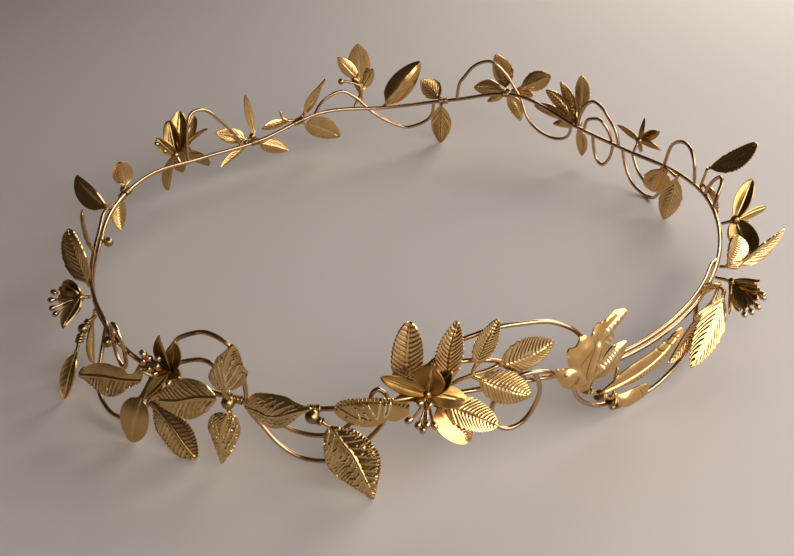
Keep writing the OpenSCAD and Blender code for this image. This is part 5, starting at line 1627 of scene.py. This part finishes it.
FLOWERS = [
    Flower("lily_front", (2.2, 3.6, 23.2), (1.6, 11, 20),
        [Petal((-3.2, 6.6, 30), 3.8, -0.4, curl=1.2, full=0.55, face=(-0.3, -0.7, 0.65)),
            Petal((3, 6, 32.4), 7.2, -0.4, fold=16, shape=0.95, face=(-0.1, -0.7, 0.7)),
            Petal((5.3, 6.4, 30.2), 4.8, -0.4, fold=26, face=(0.4, -0.5, 0.75)),
            Petal((7.1, 4.8, 21.2), 5.2, 0.2, full=0.48, fold=8, face=(0.46, -0.63, 0.62)),
            Petal((-2.3, 6.6, 24.2), 3.2, -0.2, face=(-0.4, -0.5, 0.75))],
        [(-0.4, 9, 20.8), (0.7, 9.2, 19.6), (1.7, 9.6, 19.9), (2.6, 9.2, 19.1), (1.2, 9.6, 18.6),
            (2.2, 6.4, 22.6), (1.2, 6.6, 23.2)], stem=[seat(2.2)], droop=0.3),
    Flower("lily_left", (-35.3, 3.2, 22.4), (-36, 9, 27),
        [Petal((-34, 6.4, 34.4), 4.8, 0.5, fold=24, face=(-0.3, -0.6, 0.7)),
            Petal((-33, 3.6, 31.6), 4, 0.2, face=(0.2, -0.6, 0.7)),
            Petal((-37.2, 9, 25.6), 4, -0.6, face=(-0.3, -0.6, 0.7)),
            Petal((-39.2, 7, 14.6), 3, 0.4, face=(-0.2, -0.6, 0.75)), Petal((-31.6, 6.4, 24.6), 3.4, 0.2)],
        [(-35.7, 9.2, 30.2), (-34, 8, 29.2), (-33.8, 9, 28), (-35.1, 8, 24.8), (-34.3, 6, 21.6),
            (-35, 9.4, 27), (-36, 9, 28.2), (-34.6, 7.4, 26.2), (-36.4, 8.4, 29.6), (-35.2, 8.6, 29),
            (-36.6, 8.6, 27.2)], stem=[seat(-35.2), (-35.2, 1.8, 19.6)]),
    Flower("flower_left", (-71, 3.4, 17), (-71.5, 10, 16.6),
        [Petal((-72.2, 9, 16.6), 5, -0.2, full=0.45, face=(-0.1, -0.9, 0.3)),
            Petal((-66.2, 9.6, 13.6), 4.4, 0.2, face=(-0.2, -0.6, 0.75)),
            Petal((-73.5, 7, 20.6), 4.6, -0.2, full=0.45, face=(-0.1, -0.9, 0.4)),
            Petal((-70, 6.6, 12.6), 3.6, -0.2, face=(-0.3, -0.6, 0.7)),
            Petal((-73.4, 8.6, 18.6), 4.6, -0.2, full=0.45, face=(-0.1, -0.9, 0.1))],
        [(-74, 10, 17.6), (-72.3, 10.9, 17), (-71, 10.9, 15.8), (-70, 10.4, 14.9)],
        stem=[seat(-71), (-71, 2.4, 16.8)]),
    Flower("flower_left_back", (-129.5, 2.6, 18.8), (-130, 7, 26),
        [Petal((-130.4, 5, 30), 5.6, 0.3, full=0.5, face=(0.1, -1, -0.1)),
            Petal((-133.4, 5, 31.6), 6.8, 0.3, full=0.5, face=(0.1, -1, -0.1)),
            Petal((-136.8, 5, 28), 5.6, 0.3, full=0.5, face=(0.2, -1, 0)),
            Petal((-139, 4, 22.4), 5.4, 0.2, full=0.5), Petal((-127, 5, 7), 6, 0.4, full=0.5),
            Petal((-138, 4, 9.6), 7, 0.4, full=0.5), Petal((-131.4, 4.2, 10.8), 5, 0.3, full=0.5),
            Petal((-126.6, 5, 26), 5, 0.3, full=0.5, face=(0, -1, -0.1)),
            Petal((-134.6, 6.4, 25), 5, 0.6, shape=0.9, face=(0.1, -1, -0.2)),
            Petal((-130.4, 6.4, 25.6), 4.6, 0.6, shape=0.9, face=(0.1, -1, -0.2)),
            Petal((-134.6, 5.4, 15.6), 5.6, 0.6, shape=0.9)], [(-126.6, 5, 24), (-127.8, 4.2, 20.8)],
        stem=[seat(-129.5), (-129.5, 1.8, 18)], heart_d=2.4),
    Flower("flower_back_right", (119.8, 3, 16.8), (119.4, 8, 18),
        [Petal((119.9, 5, 24), 2.8, -0.3), Petal((116.4, 6.4, 21), 3.4, -0.3),
            Petal((115, 5.6, 15.6), 3.2, -0.3), Petal((120.8, 5.4, 11.6), 3, -0.3),
            Petal((126.4, 4, 18.6), 3.4, -0.2)], [], stem=[seat(119.8), (119.8, 2, 15.6)], heart_d=2.4),
    Flower("flower_right_back", (80, 4.4, 18.4), (68, 8, 25),
        [Petal((84, 9.2, 27.8), 5, -0.4, curl=0.8, face=(-0.3, -0.5, 0.8)),
            Petal((82.2, 13, 20.6), 3.8, -0.3, face=(0.1, -0.9, -0.3)),
            Petal((74.2, 8.8, 12.4), 8, -0.9, full=0.5, face=(-0.2, -0.5, 0.85)),
            Petal((84.5, 9.5, 14), 5.4, -0.4, full=0.5, face=(0.3, -0.5, 0.8)),
            Petal((79, 6.4, 10.6), 6, -0.5, full=0.5, face=(-0.3, -0.5, 0.8))], [],
        stem=[seat(80), (80, 2.6, 17.8)], heart_d=2.6),
    Flower("flower_right", (62.2, 5, 15.6), (60.5, 12, 14.6),
        [*[Petal(tip, 3, -0.3, full=0.4, face=(0, -0.8, 0.6)) for tip in (
            (60.2, 12, 17), (61.4, 12.4, 14.8), (60.8, 12, 13), (59.2, 11.4, 12.8), (57.6, 10.4, 12.8),
            (56.2, 9.4, 13.6))],
            Petal((60, 13, 18.6), 1.6, 0.8, curl=-1.2, face=(0, -0.6, 0.8)),
            Petal((57.6, 6.6, 10.8), 4.4, -0.4), Petal((64.4, 9.6, 12.2), 4, -0.4)],
        [(60.4, 13, 15.4), (61.4, 13, 13.4), (59.8, 12.4, 12.2), (58.2, 11.6, 12.2), (56.8, 10.6, 12.6)],
        stem=[seat(62.2), (62.2, 2.8, 16)])]


# The studio


@dataclass
class Studio:
    """A plain pale floor, soft light from low on the right, and the camera at the photo's angle."""

    camera_place: tuple[float, float, float] = (-1.0, -288.5, 163.4)
    # Degrees that the camera looks below the horizon and is turned about its own line of sight
    camera_pitch: float = 29.7
    camera_roll: float = -4.33
    # The photo's focal length in its own pixels, and the photo's width
    focal_pixels: float = 1120.0
    photo_width: float = 794.0
    sensor_mm: float = 36.0
    floor_size: float = 6.0
    floor_colour: str = "#d2cbc4"
    # Below 1 deepens the dark tones, as the photo shows them
    contrast_gamma: float = 0.85

    def build(self) -> None:
        """Sets the floor, the lights, the world and the camera."""
        self._floor()
        self._light("window", (0.334, 0.424, 0.25), 0.36, 1.75, "#fffaf5")
        self._light("side", (0.44, -0.24, 0.26), 1.0, 5.0, "#faf8fc", 0.46)
        self._light("front", (0.12, -0.62, 0.38), 0.3, 0.8, "#fff2e0")
        self._world("#c4ae96", 0.125)
        self._camera()
        bpy.context.scene.view_settings.view_transform = "Standard"
        bpy.context.scene.view_settings.gamma = self.contrast_gamma

    def _floor(self) -> None:
        """Lays the floor at z = 0."""
        deselect_all()
        bpy.ops.mesh.primitive_plane_add(size=self.floor_size)
        floor = bpy.context.view_layer.objects.active
        floor.name = "floor"
        material = bpy.data.materials.new("pale_paper_floor")
        material.use_nodes = True
        shader = material.node_tree.nodes["Principled BSDF"]
        shader.inputs["Base Color"].default_value = linear(self.floor_colour)
        shader.inputs["Roughness"].default_value = 0.9
        floor.data.materials.append(material)

    def _light(self, name: str, place: tuple[float, float, float], size: float, power: float,
               colour: str, height: Optional[float] = None) -> None:
        """Hangs a soft light that looks at the middle of the circlet.

        Args:
            name: Name of the light.
            place: Its place in metres.
            size: Width of the light in metres.
            power: Its power in watts.
            colour: Its colour as an sRGB hex code.
            height: Height of the light in metres, where it isn't square.
        """
        data = bpy.data.lights.new(name, "AREA")
        data.shape = "RECTANGLE"
        data.size = size
        data.size_y = height or size
        data.energy = power
        data.color = linear(colour)[:3]
        lamp = bpy.data.objects.new(name, data)
        bpy.context.scene.collection.objects.link(lamp)
        lamp.location = place
        lamp.rotation_euler = (Vector((0, 0, 0.02)) - Vector(place)).to_track_quat("-Z", "Y").to_euler()

    def _world(self, colour: str, strength: float) -> None:
        """Fills the room with an even light.

        Args:
            colour: Its colour as an sRGB hex code.
            strength: How bright it is.
        """
        world = bpy.data.worlds.new("room")
        bpy.context.scene.world = world
        world.use_nodes = True
        background = world.node_tree.nodes["Background"]
        background.inputs["Color"].default_value = linear(colour)
        background.inputs["Strength"].default_value = strength

    def _camera(self) -> None:
        """Sets the camera as the photo's."""
        data = bpy.data.cameras.new("camera")
        data.sensor_width = self.sensor_mm
        data.lens = self.focal_pixels / self.photo_width * self.sensor_mm
        data.clip_start = 0.01
        data.clip_end = 20
        camera = bpy.data.objects.new("camera", data)
        bpy.context.scene.collection.objects.link(camera)
        pitch, roll = math.radians(self.camera_pitch), math.radians(self.camera_roll)
        ahead = Vector((0, math.cos(pitch), -math.sin(pitch)))
        level, upright = Vector((1, 0, 0)), Vector((0, math.sin(pitch), math.cos(pitch)))
        right = level * math.cos(roll) + upright * math.sin(roll)
        up = upright * math.cos(roll) - level * math.sin(roll)
        turn = Matrix((right, up, -ahead)).transposed()
        camera.matrix_world = Matrix.Translation(Vector(self.camera_place) * MM) @ turn.to_4x4()
        bpy.context.scene.camera = camera


def main() -> None:
    """Builds the circlet's sub-assemblies in order and then the studio."""
    logging.basicConfig(level=logging.WARNING, format="%(name)s: %(message)s")
    bench = Bench()
    for part in [*WIRES, *SPRAYS, *FLOWERS]:
        part.build(bench)
    bench.clear()
    Studio().build()


if __name__ == "__main__":
    main()
